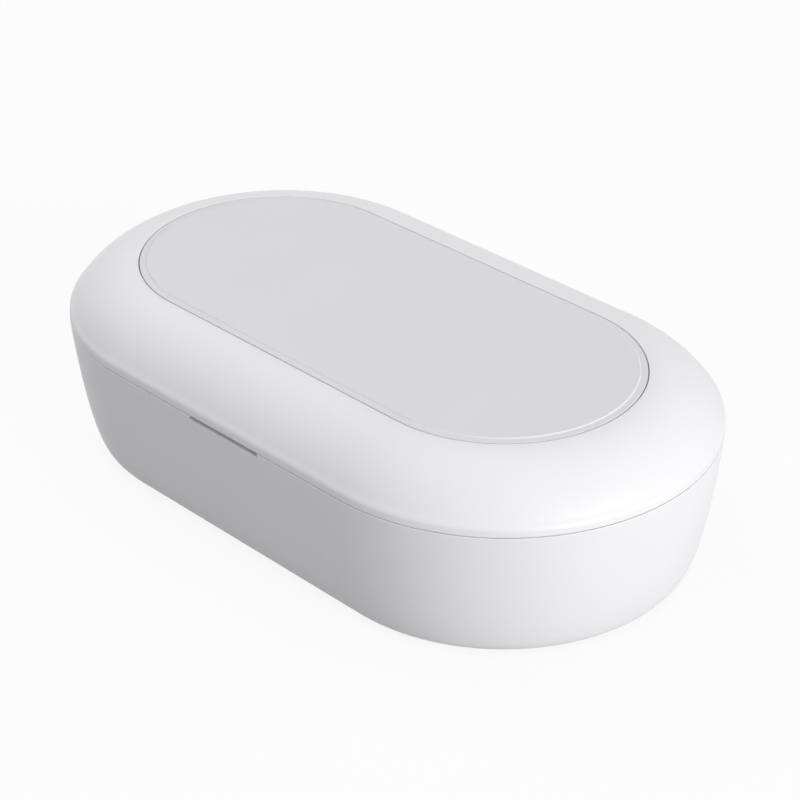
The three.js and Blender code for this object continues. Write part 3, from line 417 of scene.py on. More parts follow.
def rounded(corners, closed):
    """A profile whose corners (inset, z, radius) become arcs. A corner without a radius stays."""
    points = []
    count = len(corners)
    for index, corner in enumerate(corners):
        at_end = not closed and index in (0, count - 1)
        if len(corner) < 3 or corner[2] == 0 or at_end:
            points.append(tuple(corner[:2]))
            continue
        here = Vector(corner[:2])
        back = Vector(corners[index - 1][:2]) - here
        ahead = Vector(corners[(index + 1) % count][:2]) - here
        half_angle = back.angle(ahead) / 2
        room = CORNER_SHARE * min(back.length, ahead.length)
        run = min(corner[2] / math.tan(half_angle), room)
        radius = run * math.tan(half_angle)
        inwards = (back.normalized() + ahead.normalized()).normalized()
        middle = here + inwards * radius / math.sin(half_angle)
        first = here + back.normalized() * run - middle
        last = here + ahead.normalized() * run - middle
        turn = first.angle_signed(last)
        for step in range(FILLET_STEPS + 1):
            arm = first.copy()
            arm.rotate(Matrix.Rotation(-turn * step / FILLET_STEPS, 2))
            points.append(tuple(middle + arm))
    return points


def corner_arc(wall, floor_inset, wall_z, floor_z):
    """A rounded inside corner of a profile, from the wall to the chamber's floor or ceiling"""
    points = []
    for step in range(CORNER_STEPS + 1):
        angle = math.radians(90 * step / CORNER_STEPS)
        inset = wall + (floor_inset - wall) * (1 - math.cos(angle))
        points.append((inset, wall_z + (floor_z - wall_z) * math.sin(angle)))
    return points


def eased_mouth(radius, back, face):
    """A hole's section from behind a wall to past its face, with the rim eased by a quarter round"""
    outward = math.copysign(1, face - back)
    points = [(0, back)]
    for step in range(EASE_STEPS + 1):
        angle = math.radians(90 * step / EASE_STEPS)
        points.append((radius * (math.cos(angle) - 1), face - outward * radius * (1 - math.sin(angle))))
    return [*points, (-radius, face + outward * OVERRUN)]


def rod(radius, length, edge=0):
    """The section of a round bar, its ends rounded where an edge is given"""
    return rounded([(0, 0), (radius, 0, edge), (radius, length, edge), (0, length)], False)


# Meshes


def new_piece(name, mesh_edit):
    """An object from a mesh under edit, its faces turned outwards"""
    bmesh.ops.recalc_face_normals(mesh_edit, faces=mesh_edit.faces)
    mesh = bpy.data.meshes.new(name)
    mesh_edit.to_mesh(mesh)
    mesh_edit.free()
    piece = bpy.data.objects.new(name, mesh)
    bpy.context.scene.collection.objects.link(piece)
    return piece


def skin(name, rings, closed=False):
    """A solid drawn through rings of places. A ring of one place is a tip."""
    made = bmesh.new()
    rings = [[made.verts.new(place) for place in ring] for ring in rings]
    count = max(len(ring) for ring in rings)
    if closed:
        rings.append(rings[0])
    else:
        for ring in (rings[0], rings[-1]):
            if len(ring) > 1:
                made.faces.new(ring)
    for low, high in zip(rings, rings[1:]):
        for index in range(count):
            after = (index + 1) % count
            around = ((low, index), (low, after), (high, after), (high, index))
            corners = dict.fromkeys(ring[place % len(ring)] for ring, place in around)
            made.faces.new(list(corners))
    return new_piece(name, made)


def case_loft(name, profile, closed=False):
    """A solid drawn through the case's outline at each (inset, z) of a profile"""
    rings = []
    for inset, z in profile:
        outline = oval(half_length - inset, half_width - inset, ARC_STEPS, STRAIGHT_STEPS)
        rings.append([(x, y + middle_y, z) for x, y in outline])
    return skin(name, rings, closed)


def oval_bar(name, half_long, half_wide, levels, place):
    """A straight-sided oval in XY, drawn through each (inset, z) and moved to a place"""
    rings = []
    for inset, z in levels:
        outline = oval(half_long - inset, half_wide - inset, SMALL_STEPS)
        rings.append([place @ Vector((x, y, z)) for x, y in outline])
    return skin(name, rings)


def turned(name, profile, place, steps=SMALL_STEPS, closed=False):
    """A solid of revolution about Z from (radius, z) points that end on the axis or form a loop"""
    rings = []
    for radius, z in profile:
        outline = circle(radius, steps) if radius > 0 else [(0, 0)]
        rings.append([place @ Vector((x, y, z)) for x, y in outline])
    return skin(name, rings, closed)


def rounded_block(name, low, high, radius, steps=BLOCK_EDGE_STEPS):
    """A block between two corners with rounded edges"""
    made = bmesh.new()
    bmesh.ops.create_cube(made, size=1)
    size = Vector(high) - Vector(low)
    for vert in made.verts:
        vert.co = Vector(low) + Vector((share + 0.5) * side for share, side in zip(vert.co, size))
    if radius > 0:
        edges = list(made.edges)
        bmesh.ops.bevel(
            made, geom=edges, offset=radius, segments=steps, profile=ROUND_BEVEL, affect="EDGES",
        )
    return new_piece(name, made)


def square_block(name, x, y, half, z0, z1, radius):
    """An upright square block about a place in x and y"""
    return rounded_block(name, (x - half, y - half, z0), (x + half, y + half, z1), radius)


def weld(mesh):
    """Closes the hairline cracks and missing facets that cutting and joining leave"""
    tidy = bmesh.new()
    tidy.from_mesh(mesh)
    bmesh.ops.remove_doubles(tidy, verts=tidy.verts, dist=WELD)
    bmesh.ops.dissolve_degenerate(tidy, edges=tidy.edges, dist=WELD)
    rims = [edge for edge in tidy.edges if edge.is_boundary]
    if rims:
        bmesh.ops.holes_fill(tidy, edges=rims, sides=FACET_SIDES)
        bmesh.ops.recalc_face_normals(tidy, faces=tidy.faces)
    tidy.to_mesh(mesh)
    tidy.free()


def combine(piece, tool, operation):
    """Joins a tool to a piece or cuts it away, and uses the tool up"""
    modifier = piece.modifiers.new("combine", "BOOLEAN")
    modifier.operation = operation
    modifier.solver = "EXACT"
    modifier.object = tool
    graph = bpy.context.evaluated_depsgraph_get()
    mesh = bpy.data.meshes.new_from_object(piece.evaluated_get(graph))
    piece.modifiers.clear()
    weld(mesh)
    spent = piece.data
    piece.data = mesh
    bpy.data.meshes.remove(spent)
    bpy.data.objects.remove(tool)


def cut(piece, *tools):
    """Cuts tools away from a piece, one after another"""
    for tool in tools:
        combine(piece, tool, "DIFFERENCE")


def join(piece, *tools):
    """Joins tools to a piece, one after another"""
    for tool in tools:
        combine(piece, tool, "UNION")


def smooth(piece):
    """Smooth faces, hard edges kept, and normals that follow the large faces"""
    mesh = piece.data
    weld(mesh)
    mesh.shade_smooth()
    mesh.set_sharp_from_angle(angle=SMOOTH_ANGLE)
    modifier = piece.modifiers.new("even_normals", "WEIGHTED_NORMAL")
    modifier.keep_sharp = True


UPSIDE_DOWN = Matrix.Rotation(math.pi, 4, "X")


def along_x(x, y, z):
    """Turns a solid's own Z to the frame's X and moves it to a place"""
    return Matrix.Translation((x, y, z)) @ Matrix.Rotation(math.pi / 2, 4, "Y")


def along_y(x, y, z):
    """Turns a solid's own Z to the frame's Y and moves it to a place"""
    return Matrix.Translation((x, y, z)) @ Matrix.Rotation(-math.pi / 2, 4, "X")


def at(spot, z):
    """Moves a solid to a spot, at a height"""
    return Matrix.Translation((spot.x, spot.y, z))


def post(name, spot, z0, z1, radius):
    """An upright round bar at a spot, between two heights"""
    return turned(name, rod(radius, z1 - z0), at(spot, z0))


def finish_piece(piece, body, slot, *replaced, look=None):
    """Gives a piece its finish and its body, and hides the CAD nodes that it stands for

    A look is given where the finish isn't the slot's own.
    """
    piece.data.materials.append(look or finishes[slot])
    smooth(piece)
    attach(piece, body)
    if replaced:
        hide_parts(*replaced)


# Materials

# The noise's values at which the darker and the lighter tone are full, and how many finer layers it has
TONE_STOPS = (0.3, 0.7)
SPOT_DETAIL = 2


def linear(hex_colour):
    """A colour from an sRGB hex value to linear RGBA"""
    channels = [int(hex_colour[i:i + 2], 16) / 255 for i in (0, 2, 4)]
    values = [c / 12.92 if c <= 0.04045 else ((c + 0.055) / 1.055) ** 2.4 for c in channels]
    return (*values, 1)


def add_node(material, kind, settings=None, links=None):
    """Adds a node to a material or the world, sets its inputs or attributes, and links its inputs

    An input goes by its name, or by its number where several share a name.
    """
    node = material.node_tree.nodes.new(kind)
    for key, value in (settings or {}).items():
        if isinstance(key, int) or key in node.inputs.keys():
            node.inputs[key].default_value = value
        else:
            setattr(node, key, value)
    for key, output in (links or {}).items():
        link(material, output, node.inputs[key])
    return node


def link(material, output, target):
    """Links a node's output to the input that takes it"""
    material.node_tree.links.new(output, target)


def shader_of(material):
    """The shader that carries a material's finish"""
    return material.node_tree.nodes["Principled BSDF"]


def surface(
    name, tones, roughness, ior=None, metallic=0, cloud=0, patch=0, grit=0, depth=0, detail=SPOT_DETAIL,
):
    """A material whose tone, gloss and relief vary in spots of a real size, or stay even at a size of 0

    cloud is the size of the spots of darker and lighter tone, patch that of duller and glossier ones,
    and grit that of the relief, which is depth high.
    """
    material = bpy.data.materials.new(name)
    material.use_nodes = True
    shader = shader_of(material)
    shader.inputs["Base Color"].default_value = linear(tones[-1])
    shader.inputs["Roughness"].default_value = sum(roughness) / len(roughness)
    shader.inputs["Metallic"].default_value = metallic
    if ior:
        shader.inputs["IOR"].default_value = ior
    patterns = {}
    uses = (("tone", cloud, SPOT_DETAIL), ("gloss", patch, SPOT_DETAIL), ("relief", grit, detail))
    for use, size, fineness in uses:
        if size:
            place = add_node(material, "ShaderNodeTexCoord").outputs["Object"]
            settings = {"Scale": 1 / size, "Detail": fineness}
            noise = add_node(material, "ShaderNodeTexNoise", settings, {"Vector": place})
            patterns[use] = noise.outputs["Fac"]
    if cloud:
        ramp = add_node(material, "ShaderNodeValToRGB", links={"Fac": patterns["tone"]})
        for stop, position, tone in zip(ramp.color_ramp.elements, TONE_STOPS, tones):
            stop.position = position
            stop.color = linear(tone)
        link(material, ramp.outputs["Color"], shader.inputs["Base Color"])
    if patch:
        settings = {"To Min": roughness[0], "To Max": roughness[1]}
        spread = add_node(material, "ShaderNodeMapRange", settings, {"Value": patterns["gloss"]})
        link(material, spread.outputs["Result"], shader.inputs["Roughness"])
    if grit:
        bump = add_node(material, "ShaderNodeBump", {"Distance": depth}, {"Height": patterns["relief"]})
        link(material, bump.outputs["Normal"], shader.inputs["Normal"])
    return material


def abs_satin_moulded():
    """White ABS from a finely blasted mould: an even satin with a soft, wide highlight"""
    return surface(
        "abs_satin_moulded", ("f0f0f2", "f2f2f4"), (0.4, 0.46), ior=1.53,
        cloud=40 * MM, patch=6 * MM, grit=0.35 * MM, depth=0.004 * MM,
    )


def abs_gloss_moulded():
    """White ABS from a stoned mould: smoother, so the dome shows a long soft reflection"""
    return surface(
        "abs_gloss_moulded", ("f0f0f2", "f2f2f4"), (0.38, 0.43), ior=1.53,
        cloud=40 * MM, patch=6 * MM, grit=0.6 * MM, depth=0.002 * MM,
    )


def abs_pad_moulded():
    """White ABS with a fine eroded texture: matt, so the pad reads a shade greyer than the dome"""
    return surface(
        "abs_pad_moulded", ("e5e5e8", "e7e7ea"), (0.56, 0.62), ior=1.53,
        cloud=30 * MM, patch=5 * MM, grit=0.3 * MM, depth=0.004 * MM,
    )


def abs_polished_moulded():
    """White ABS from a polished mould: it spreads the lamps' light round the chamber"""
    return surface(
        "abs_polished_moulded", ("ebedf1", "edeff3"), (0.16, 0.22), ior=1.53,
        cloud=35 * MM, patch=8 * MM, grit=4 * MM, depth=0.004 * MM,
    )


def abs_eroded_moulded():
    """White ABS from a spark-eroded mould: dull and slightly pebbled, as undersides are"""
    return surface(
        "abs_eroded_moulded", ("e3e3e5", "e6e6e8"), (0.56, 0.68), ior=1.53,
        cloud=25 * MM, patch=1.2 * MM, grit=0.5 * MM, depth=0.02 * MM, detail=3,
    )


def silicone_moulded():
    """Grey silicone rubber, moulded: matt, with the faint bloom of a soft surface"""
    material = surface(
        "silicone_moulded", ("989899", "a0a0a2"), (0.74, 0.82), ior=1.41,
        cloud=3 * MM, patch=1 * MM, grit=0.25 * MM, depth=0.008 * MM,
    )
    shader_of(material).inputs["Sheen Weight"].default_value = 0.12
    return material


def steel_zinc_plated():
    """Zinc-plated steel: a cool grey metal, slightly clouded by the bath"""
    return surface(
        "steel_zinc_plated", ("b2b6bb", "c6c9cd"), (0.27, 0.39), metallic=1,
        cloud=1.5 * MM, patch=0.8 * MM, grit=0.2 * MM, depth=0.002 * MM,
    )


def steel_nickel_plated():
    """Nickel-plated steel, drawn: warmer than zinc and smoother, as connector shells are"""
    return surface(
        "steel_nickel_plated", ("b9b6ae", "cfccc4"), (0.23, 0.35), metallic=1,
        cloud=1.5 * MM, patch=0.8 * MM, grit=0.2 * MM, depth=0.002 * MM,
    )


def steel_ground():
    """Stainless steel rod, centreless ground: fine rings run round it, drawn twice as coarse to show"""
    ring_spacing = 0.25 * MM
    ring_depth = 0.002 * MM
    crest, groove = 0.24, 0.34
    # The wave pattern draws this many bands per metre at a scale of 1
    bands_at_scale_one = 20 / (2 * math.pi)
    material = surface("steel_ground", ("c8cacc",), (crest, groove), metallic=1)
    shader = shader_of(material)
    place = add_node(material, "ShaderNodeTexCoord").outputs["Object"]
    bands = {
        "wave_type": "BANDS",
        "bands_direction": "X",
        "Scale": 1 / ring_spacing / bands_at_scale_one,
        "Distortion": 0.4,
    }
    rings = add_node(material, "ShaderNodeTexWave", bands, {"Vector": place}).outputs["Fac"]
    spread = {"To Min": crest, "To Max": groove}
    gloss = add_node(material, "ShaderNodeMapRange", spread, {"Value": rings})
    relief = add_node(material, "ShaderNodeBump", {"Distance": ring_depth}, {"Height": rings})
    link(material, gloss.outputs["Result"], shader.inputs["Roughness"])
    link(material, relief.outputs["Normal"], shader.inputs["Normal"])
    return material


def neodymium_nickel_plated():
    """Sintered magnet under bright nickel: the shiniest metal in the box"""
    return surface(
        "neodymium_nickel_plated", ("bcbcbc", "d2d2d0"), (0.13, 0.25), metallic=1,
        cloud=1.5 * MM, patch=0.8 * MM, grit=0.3 * MM, depth=0.002 * MM,
    )


def bronze_gold_plated():
    """Gold flash on bronze contacts: a yellow glint inside the inlet"""
    return surface(
        "bronze_gold_plated", ("c89a4a", "dcb266"), (0.17, 0.29), metallic=1,
        cloud=1.5 * MM, patch=0.8 * MM, grit=0.2 * MM, depth=0.001 * MM,
    )


def solder_mask_green():
    """Screened green solder mask on glass-epoxy: a thin glossy lacquer, the weave just felt under it"""
    return surface(
        "solder_mask_green", ("1b5436", "226443"), (0.28, 0.36), ior=1.5,
        cloud=2 * MM, patch=1 * MM, grit=0.4 * MM, depth=0.006 * MM,
    )


def solder_mask_white():
    """Screened white solder mask on aluminium: smooth and bright, so it throws the lamps' light back"""
    return surface(
        "solder_mask_white", ("dfe2e2", "e8ebeb"), (0.28, 0.36), ior=1.5,
        cloud=2 * MM, patch=1 * MM, grit=0.6 * MM, depth=0.003 * MM,
    )


def alumina_fired():
    """Fired alumina of an emitter's package: dense, matt and slightly warm"""
    return surface(
        "alumina_fired", ("e4dfd0", "ece8dc"), (0.46, 0.54), ior=1.76,
        cloud=0.5 * MM, patch=0.3 * MM, grit=0.1 * MM, depth=0.003 * MM,
    )


def sapphire_sawn():
    """The sawn sapphire die of an emitter: a small dark violet square with a glassy shine"""
    return surface(
        "sapphire_sawn", ("54506a", "6a6580"), (0.18, 0.26), ior=1.77,
        cloud=0.4 * MM, patch=0.3 * MM, grit=0.15 * MM, depth=0.001 * MM,
    )


def quartz_polished():
    """Fused quartz, polished: clear and hardly tinted, so what lies under it shows"""
    material = surface("quartz_polished", ("f6fafc",), (0.02, 0.05), ior=1.46, patch=5 * MM)
    shader_of(material).inputs["Transmission Weight"].default_value = 1.0
    return material


def polycarbonate_moulded():
    """Clear polycarbonate of a light pipe: a little milky from its fine texture"""
    material = surface("polycarbonate_moulded", ("e6f0ea",), (0.18, 0.3), ior=1.58, patch=0.6 * MM)
    shader_of(material).inputs["Transmission Weight"].default_value = 0.7
    return material


def copper_enamelled():
    """Copper wire under clear enamel: warm metal with a varnish gloss"""
    material = surface(
        "copper_enamelled", ("a86232", "c47c46"), (0.26, 0.34), metallic=1,
        cloud=1 * MM, patch=0.5 * MM,
    )
    shader_of(material).inputs["Coat Weight"].default_value = 0.5
    return material


def ferrite_rolled():
    """Rolled ferrite sheet under film: near black with a dull shine"""
    return surface(
        "ferrite_rolled", ("262527", "2f2e30"), (0.46, 0.54), ior=1.5,
        cloud=3 * MM, patch=2 * MM, grit=1 * MM, depth=0.01 * MM,
    )


def nylon_moulded():
    """Black glass-filled nylon, moulded: a dry, slightly streaked black"""
    return surface(
        "nylon_moulded", ("19191b", "232325"), (0.5, 0.6), ior=1.53,
        cloud=1 * MM, patch=0.6 * MM, grit=0.2 * MM, depth=0.006 * MM,
    )


finishes = {
    "case_shell": abs_satin_moulded(),
    "charging_pad": abs_pad_moulded(),
    "chamber_liner": abs_polished_moulded(),
    "bottom_cover": abs_eroded_moulded(),
    "foot_rubber": silicone_moulded(),
    "screw_steel": steel_zinc_plated(),
    "pin_steel": steel_ground(),
    "inlet_steel": steel_nickel_plated(),
    "magnet": neodymium_nickel_plated(),
    "board_laminate": solder_mask_green(),
    "light_board": solder_mask_white(),
    "emitter": alumina_fired(),
    "window": quartz_polished(),
    "coil_copper": copper_enamelled(),
    "ferrite": ferrite_rolled(),
    "switch_black": nylon_moulded(),
    "status_lens": polycarbonate_moulded(),
}
lid_finish = abs_gloss_moulded()
contact_finish = bronze_gold_plated()
die_finish = sapphire_sawn()


def finish_cad_nodes():
    """The CAD nodes that stay get the finish of their slot"""
    for name, node in frame["nodes"].items():
        node.data.materials.clear()
        node.data.materials.append(finishes[frame_slots[name]])


# Base

base_wall = base_curve()
dome = lid_curve()


def rear_wall(z):
    """Where the base's rear wall stands at a height"""
    return middle_y + half_width - inset_at(base_wall, z)


def knuckle_bar(name, x0, x1, radius):
    """A round bar on the hinge's axis"""
    return turned(name, rod(radius, x1 - x0), along_x(x0, hinge_y, parting), ROUND_STEPS)


def knuckle(name, x0, x1):
    """A hinge knuckle with its edges rounded"""
    place = along_x(x0, hinge_y, parting)
    return turned(name, rod(BARREL_RADIUS, x1 - x0, EDGE_RADIUS), place, ROUND_STEPS)


def barrel_sector(name, x0, x1, start, end, radius):
    """A sector of the hinge barrel, with angles counted from the rear over the top"""
    edge = [(hinge_y, parting)]
    for step in range(SMALL_STEPS + 1):
        angle = math.radians(start + (end - start) * step / SMALL_STEPS)
        edge.append((hinge_y + radius * math.cos(angle), parting + radius * math.sin(angle)))
    return skin(name, [[(x, y, z) for y, z in edge] for x in (x0, x1)])


def base_profile():
    """The base's section: outer wall, rim, shelf for the tray and ledge for the cover"""
    inner = offset_curve(base_wall, CASE_WALL)
    wall_top = shelf_top - SHELF_HEIGHT - SHELF_WIDTH
    outer = between(base_wall, underside, rim_top)[:-1]
    inside = between(inner, ledge_top, wall_top)
    cover_edge = cover_inset - SIDE_GAP
    return [
        (cover_edge, underside, EDGE_RADIUS),
        *outer,
        (inset_at(base_wall, rim_top), rim_top, RIM_RADIUS),
        (CASE_WALL, rim_top, EDGE_RADIUS),
        (CASE_WALL, shelf_top),
        (CASE_WALL + SHELF_WIDTH, shelf_top, EDGE_RADIUS),
        (CASE_WALL + SHELF_WIDTH, shelf_top - SHELF_HEIGHT),
        *reversed(inside),
        (cover_inset + COVER_LEDGE, ledge_top, EDGE_RADIUS),
        (cover_inset + COVER_LEDGE, cover_seat, EDGE_RADIUS),
        (cover_edge, cover_seat),
    ]


def wall_hole(name, x, half_wide, half_high, flare):
    """A hole through the rear wall whose outer edge is eased"""
    levels = eased_mouth(flare, -CASE_WALL - OVERRUN, 0)
    return oval_bar(name, half_wide, half_high, levels, along_y(x, rear_wall(port_z), port_z))


def base_casing():
    """The base's shell, with the finger notch, the rear holes and the two outer knuckles"""
    shell = case_loft("base_casing", rounded(base_profile(), True), True)
    notch = rounded_block(
        "notch",
        (-NOTCH_LENGTH / 2, middle_y - half_width - OVERRUN, rim_top - NOTCH_HEIGHT),
        (NOTCH_LENGTH / 2, middle_y - half_width + CASE_WALL + SIDE_GAP, rim_top + OVERRUN),
        EDGE_RADIUS,
    )
    button_room, lens_room = BUTTON_RADIUS + SIDE_GAP, LENS_RADIUS + SEAT_GAP
    ports = [
        wall_hole("port", inlet_x, PORT_HALF_WIDTH, PORT_HALF_HEIGHT, PORT_FLARE),
        wall_hole("button_hole", button_x, button_room, button_room, EDGE_RADIUS),
        wall_hole("lens_hole", lens_x, lens_room, lens_room, EDGE_RADIUS),
    ]
    knuckle_x = KNUCKLE_HALF_LENGTH + KNUCKLE_GAP
    room = knuckle_bar("room", -knuckle_x, knuckle_x, BARREL_RADIUS + BARREL_CLEARANCE)
    cut(shell, notch, *ports, room)
    join(shell, knuckle("right", knuckle_x, HINGE_HALF_LENGTH))
    join(shell, knuckle("left", -HINGE_HALF_LENGTH, -knuckle_x))
    jaw_start = 180 - JAW_DEGREES - hinge["range_deg"][1] - JAW_PLAY_DEGREES
    path = barrel_sector(
        "jaw_path", KNUCKLE_HALF_LENGTH, knuckle_x + JAW_LENGTH, jaw_start, 180 + JAW_PLAY_DEGREES,
        BARREL_RADIUS + BARREL_CLEARANCE,
    )
    cut(shell, path, knuckle_bar("bore", -2 * HINGE_HALF_LENGTH, 2 * HINGE_HALF_LENGTH, BORE_RADIUS))
    finish_piece(shell, "base", "case_shell", "base_shell")


def pin():
    """The hinge pin, its ends lightly domed"""
    place = along_x(-HINGE_HALF_LENGTH, hinge_y, parting)
    piece = turned("pin", rod(PIN_RADIUS, 2 * HINGE_HALF_LENGTH, PIN_EDGE), place, ROUND_STEPS)
    finish_piece(piece, "base", "pin_steel", "hinge_pin")


# Lid


def lid_profile():
    """The lid's section: under the pad, down the inner wall, then over rim and dome to the pad's pocket

    A short straight rim band runs round the lid, and blends softly into the dome.
    """
    under_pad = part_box("charging_coil")[1].z + SEAT_GAP
    inner_dome = offset_curve(dome, CASE_WALL)
    inner = [point for point in inner_dome if point[1] < under_pad]
    blend_low = parting + RIM_STRAIGHT
    blend_top = blend_low + RIM_BLEND
    past_blend = blend_top + RIM_BLEND_OVERLAP
    top_inset = inset_at(dome, blend_top)
    lean = (inset_at(dome, past_blend) - top_inset) / (past_blend - blend_top)
    rim_blend = bezier(
        (RIM_BAND_INSET, blend_low),
        (RIM_BAND_INSET, blend_low + RIM_BLEND_HANDLE),
        (top_inset - lean * RIM_BLEND_HANDLE, blend_top - RIM_BLEND_HANDLE),
        (top_inset, blend_top),
        BLEND_STEPS,
    )
    outer = [point for point in dome if point[1] > past_blend]
    pocket = pad_inset - SIDE_GAP
    return [
        (inset_at(inner_dome[:-1], under_pad), under_pad),
        *reversed(inner),
        (CASE_WALL, rim_under, EDGE_RADIUS),
        (RIM_FOOT_INSET, rim_under, RIM_RADIUS),
        *rim_blend,
        *outer[:-1],
        (pocket, parting + LID_HEIGHT, EDGE_RADIUS),
        (pocket, pad_low.z - SEAT_GAP),
    ]


def lid_casing():
    """The domed shell, with its middle knuckle and the jaw that stops it when open"""
    shell = case_loft("lid_casing", rounded(lid_profile(), False))
    rooms = []
    for side in SIDES:
        ends = sorted((side * KNUCKLE_HALF_LENGTH, side * (HINGE_HALF_LENGTH + BARREL_CLEARANCE)))
        rooms.append(knuckle_bar("room", *ends, BARREL_RADIUS + BARREL_CLEARANCE))
    cut(shell, *rooms)
    join(shell, knuckle("middle", -KNUCKLE_HALF_LENGTH, KNUCKLE_HALF_LENGTH))
    jaw_ends = (KNUCKLE_HALF_LENGTH - EDGE_RADIUS, KNUCKLE_HALF_LENGTH + JAW_LENGTH)
    join(shell, barrel_sector("jaw", *jaw_ends, 180 - JAW_DEGREES, 180, BARREL_RADIUS))
    cut(shell, knuckle_bar("bore", -2 * HINGE_HALF_LENGTH, 2 * HINGE_HALF_LENGTH, BORE_RADIUS))
    finish_piece(shell, "lid", "case_shell", "lid_shell", look=lid_finish)


def pad_plate():
    """The charging pad: a low flat border, and a small step whose edge catches the light"""
    top = pad_high.z
    border_end = pad_inset + PAD_BORDER
    profile = rounded([
        (pad_inset, pad_low.z, EDGE_RADIUS),
        (pad_inset, top - PAD_STEP_RISE, EDGE_RADIUS),
        (border_end - PAD_STEP_WIDTH, top - PAD_STEP_RISE, PAD_STEP_RADIUS),
        (border_end, top, PAD_STEP_RADIUS),
        (border_end + PAD_BORDER, top),
    ], False)
    piece = case_loft("pad_plate", profile)
    finish_piece(piece, "lid", "charging_pad", "charging_pad")


# Chamber


def window_opening(chamber_z, hidden_z):
    """The oval opening over a light bar, its edge eased on the chamber's side"""
    inward = math.copysign(OVERRUN, hidden_z - chamber_z)
    levels = eased_mouth(WINDOW_EASE, hidden_z + inward, chamber_z)
    half_long = pane_high.x - WINDOW_BORDER
    half_wide = (pane_high.y - pane_low.y) / 2 - WINDOW_BORDER
    return oval_bar("opening", half_long, half_wide, levels, Matrix.Translation((0, middle_y, 0)))


def hinge_room():
    """The room that the barrel needs in the pieces beside it"""
    reach_x = HINGE_HALF_LENGTH + BARREL_CLEARANCE
    return knuckle_bar("hinge_room", -reach_x, reach_x, BARREL_RADIUS + BARREL_CLEARANCE)


def bored_post(piece, spot, z0, z1, radius, bore_end):
    """Joins a post with a screw bore, which opens at the post's free end z0, to a piece"""
    join(piece, post("post", spot, *sorted((z0, z1)), radius))
    past = z0 - math.copysign(OVERRUN, z1 - z0)
    cut(piece, post("bore", spot, *sorted((past, bore_end)), SCREW_HOLE_RADIUS))


def tray_rib(x, side):
    """A round-topped rib that carries what lies in the chamber"""
    ends = sorted((side * RIB_START, side * (RIB_START + RIB_LENGTH)))
    low = (x - RIB_WIDTH / 2, middle_y + ends[0], tray_floor - TRAY_WALL / 2)
    high = (x + RIB_WIDTH / 2, middle_y + ends[1], tray_floor + RIB_HEIGHT)
    return rounded_block("rib", low, high, RIB_EDGE, RIB_EDGE_STEPS)


def chamber_tray():
    """The white chamber: a drafted wall, a rounded floor and ribs, with legs and posts below"""
    wall = chamber_inset + TRAY_DRAFT
    corner_top = tray_floor + TRAY_CORNER
    inside = corner_arc(wall, wall + TRAY_CORNER, corner_top, tray_floor)
    outside = corner_arc(wall - TRAY_WALL, wall + TRAY_CORNER - TRAY_WALL / 2, corner_top, tray_under)
    profile = rounded([
        *reversed(outside),
        (chamber_inset - TRAY_WALL, flange_under),
        (flange_inset, flange_under, EDGE_RADIUS),
        (flange_inset, flange_top, EDGE_RADIUS),
        (chamber_inset, flange_top, TRAY_WALL / 2),
        *inside,
    ], False)
    tray = case_loft("chamber_tray", profile)
    for side in SIDES:
        for index in range(RIB_COUNT):
            join(tray, tray_rib((index - (RIB_COUNT - 1) / 2) * RIB_SPACING, side))
    root, bore_end = tray_under + TRAY_WALL / 2, tray_under - TRAY_WALL / 2
    for spot in spots_of("cover_screw"):
        bored_post(tray, spot, leg_foot, root, LEG_RADIUS, bore_end)
    for spot in spots_of("board_screw"):
        bored_post(tray, spot, post_foot, root, BOARD_POST_RADIUS, bore_end)
    for spot in spots_of("base_bar_screw"):
        bored_post(tray, spot, bar_seat, root, BAR_POST_RADIUS, root)
    cut(tray, window_opening(tray_floor, tray_under), hinge_room())
    finish_piece(tray, "base", "chamber_liner", "inner_tray")


def chamber_ceiling():
    """The lid's white ceiling, with the lip that drops inside the tray and keeps the light in"""
    lip_inset = chamber_inset + LIP_GAP
    lip_inside = lip_inset + LIP_WALL
    inner_dome = offset_curve(dome, CASE_WALL)
    inside = corner_arc(lip_inside, lip_inside + LINER_CORNER, ceiling - LINER_CORNER, ceiling)
    profile = rounded([
        *reversed(inside),
        (lip_inside, liner_low.z, LIP_EDGE),
        (lip_inset, liner_low.z, LIP_EDGE),
        (lip_inset, liner_under),
        (max(inset_at(inner_dome, liner_under), CASE_WALL) + SIDE_GAP, liner_under, EDGE_RADIUS),
        (inset_at(inner_dome, liner_top) + SIDE_GAP, liner_top, EDGE_RADIUS),
        (lip_inset, liner_top),
        (lip_inside + LINER_CORNER, ceiling_top),
    ], False)
    liner = case_loft("chamber_ceiling", profile)
    root = ceiling_top - LINER_CEILING_WALL / 2
    for spot in spots_of("lid_bar_screw"):
        bored_post(liner, spot, liner_high.z, root, BAR_POST_RADIUS, root)
    head, shank = HEAD_RADIUS + SINK_MARGIN, SHANK_RADIUS + SINK_MARGIN
    cone = [(head, -OVERRUN), (head, 0), (shank, HEAD_HEIGHT), (shank, OVERRUN)]
    sink = [(0, -OVERRUN), *cone, (0, OVERRUN)]
    for spot in spots_of("lid_screw"):
        cut(liner, turned("sink", sink, at(spot, spot.low)))
    cut(liner, window_opening(ceiling, ceiling_top), hinge_room())
    finish_piece(liner, "lid", "chamber_liner", "lid_liner")


def quartz_pane(name, body, node):
    """A clear pane over a light bar, ground to a small chamfer all round"""
    low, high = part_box(node)
    ground = PANE_CHAMFER
    levels = [(ground, low.z), (0, low.z + ground), (0, high.z - ground), (ground, high.z)]
    piece = oval_bar(name, high.x, (high.y - low.y) / 2, levels, Matrix.Translation((0, middle_y, 0)))
    finish_piece(piece, body, "window", node)


# Screws


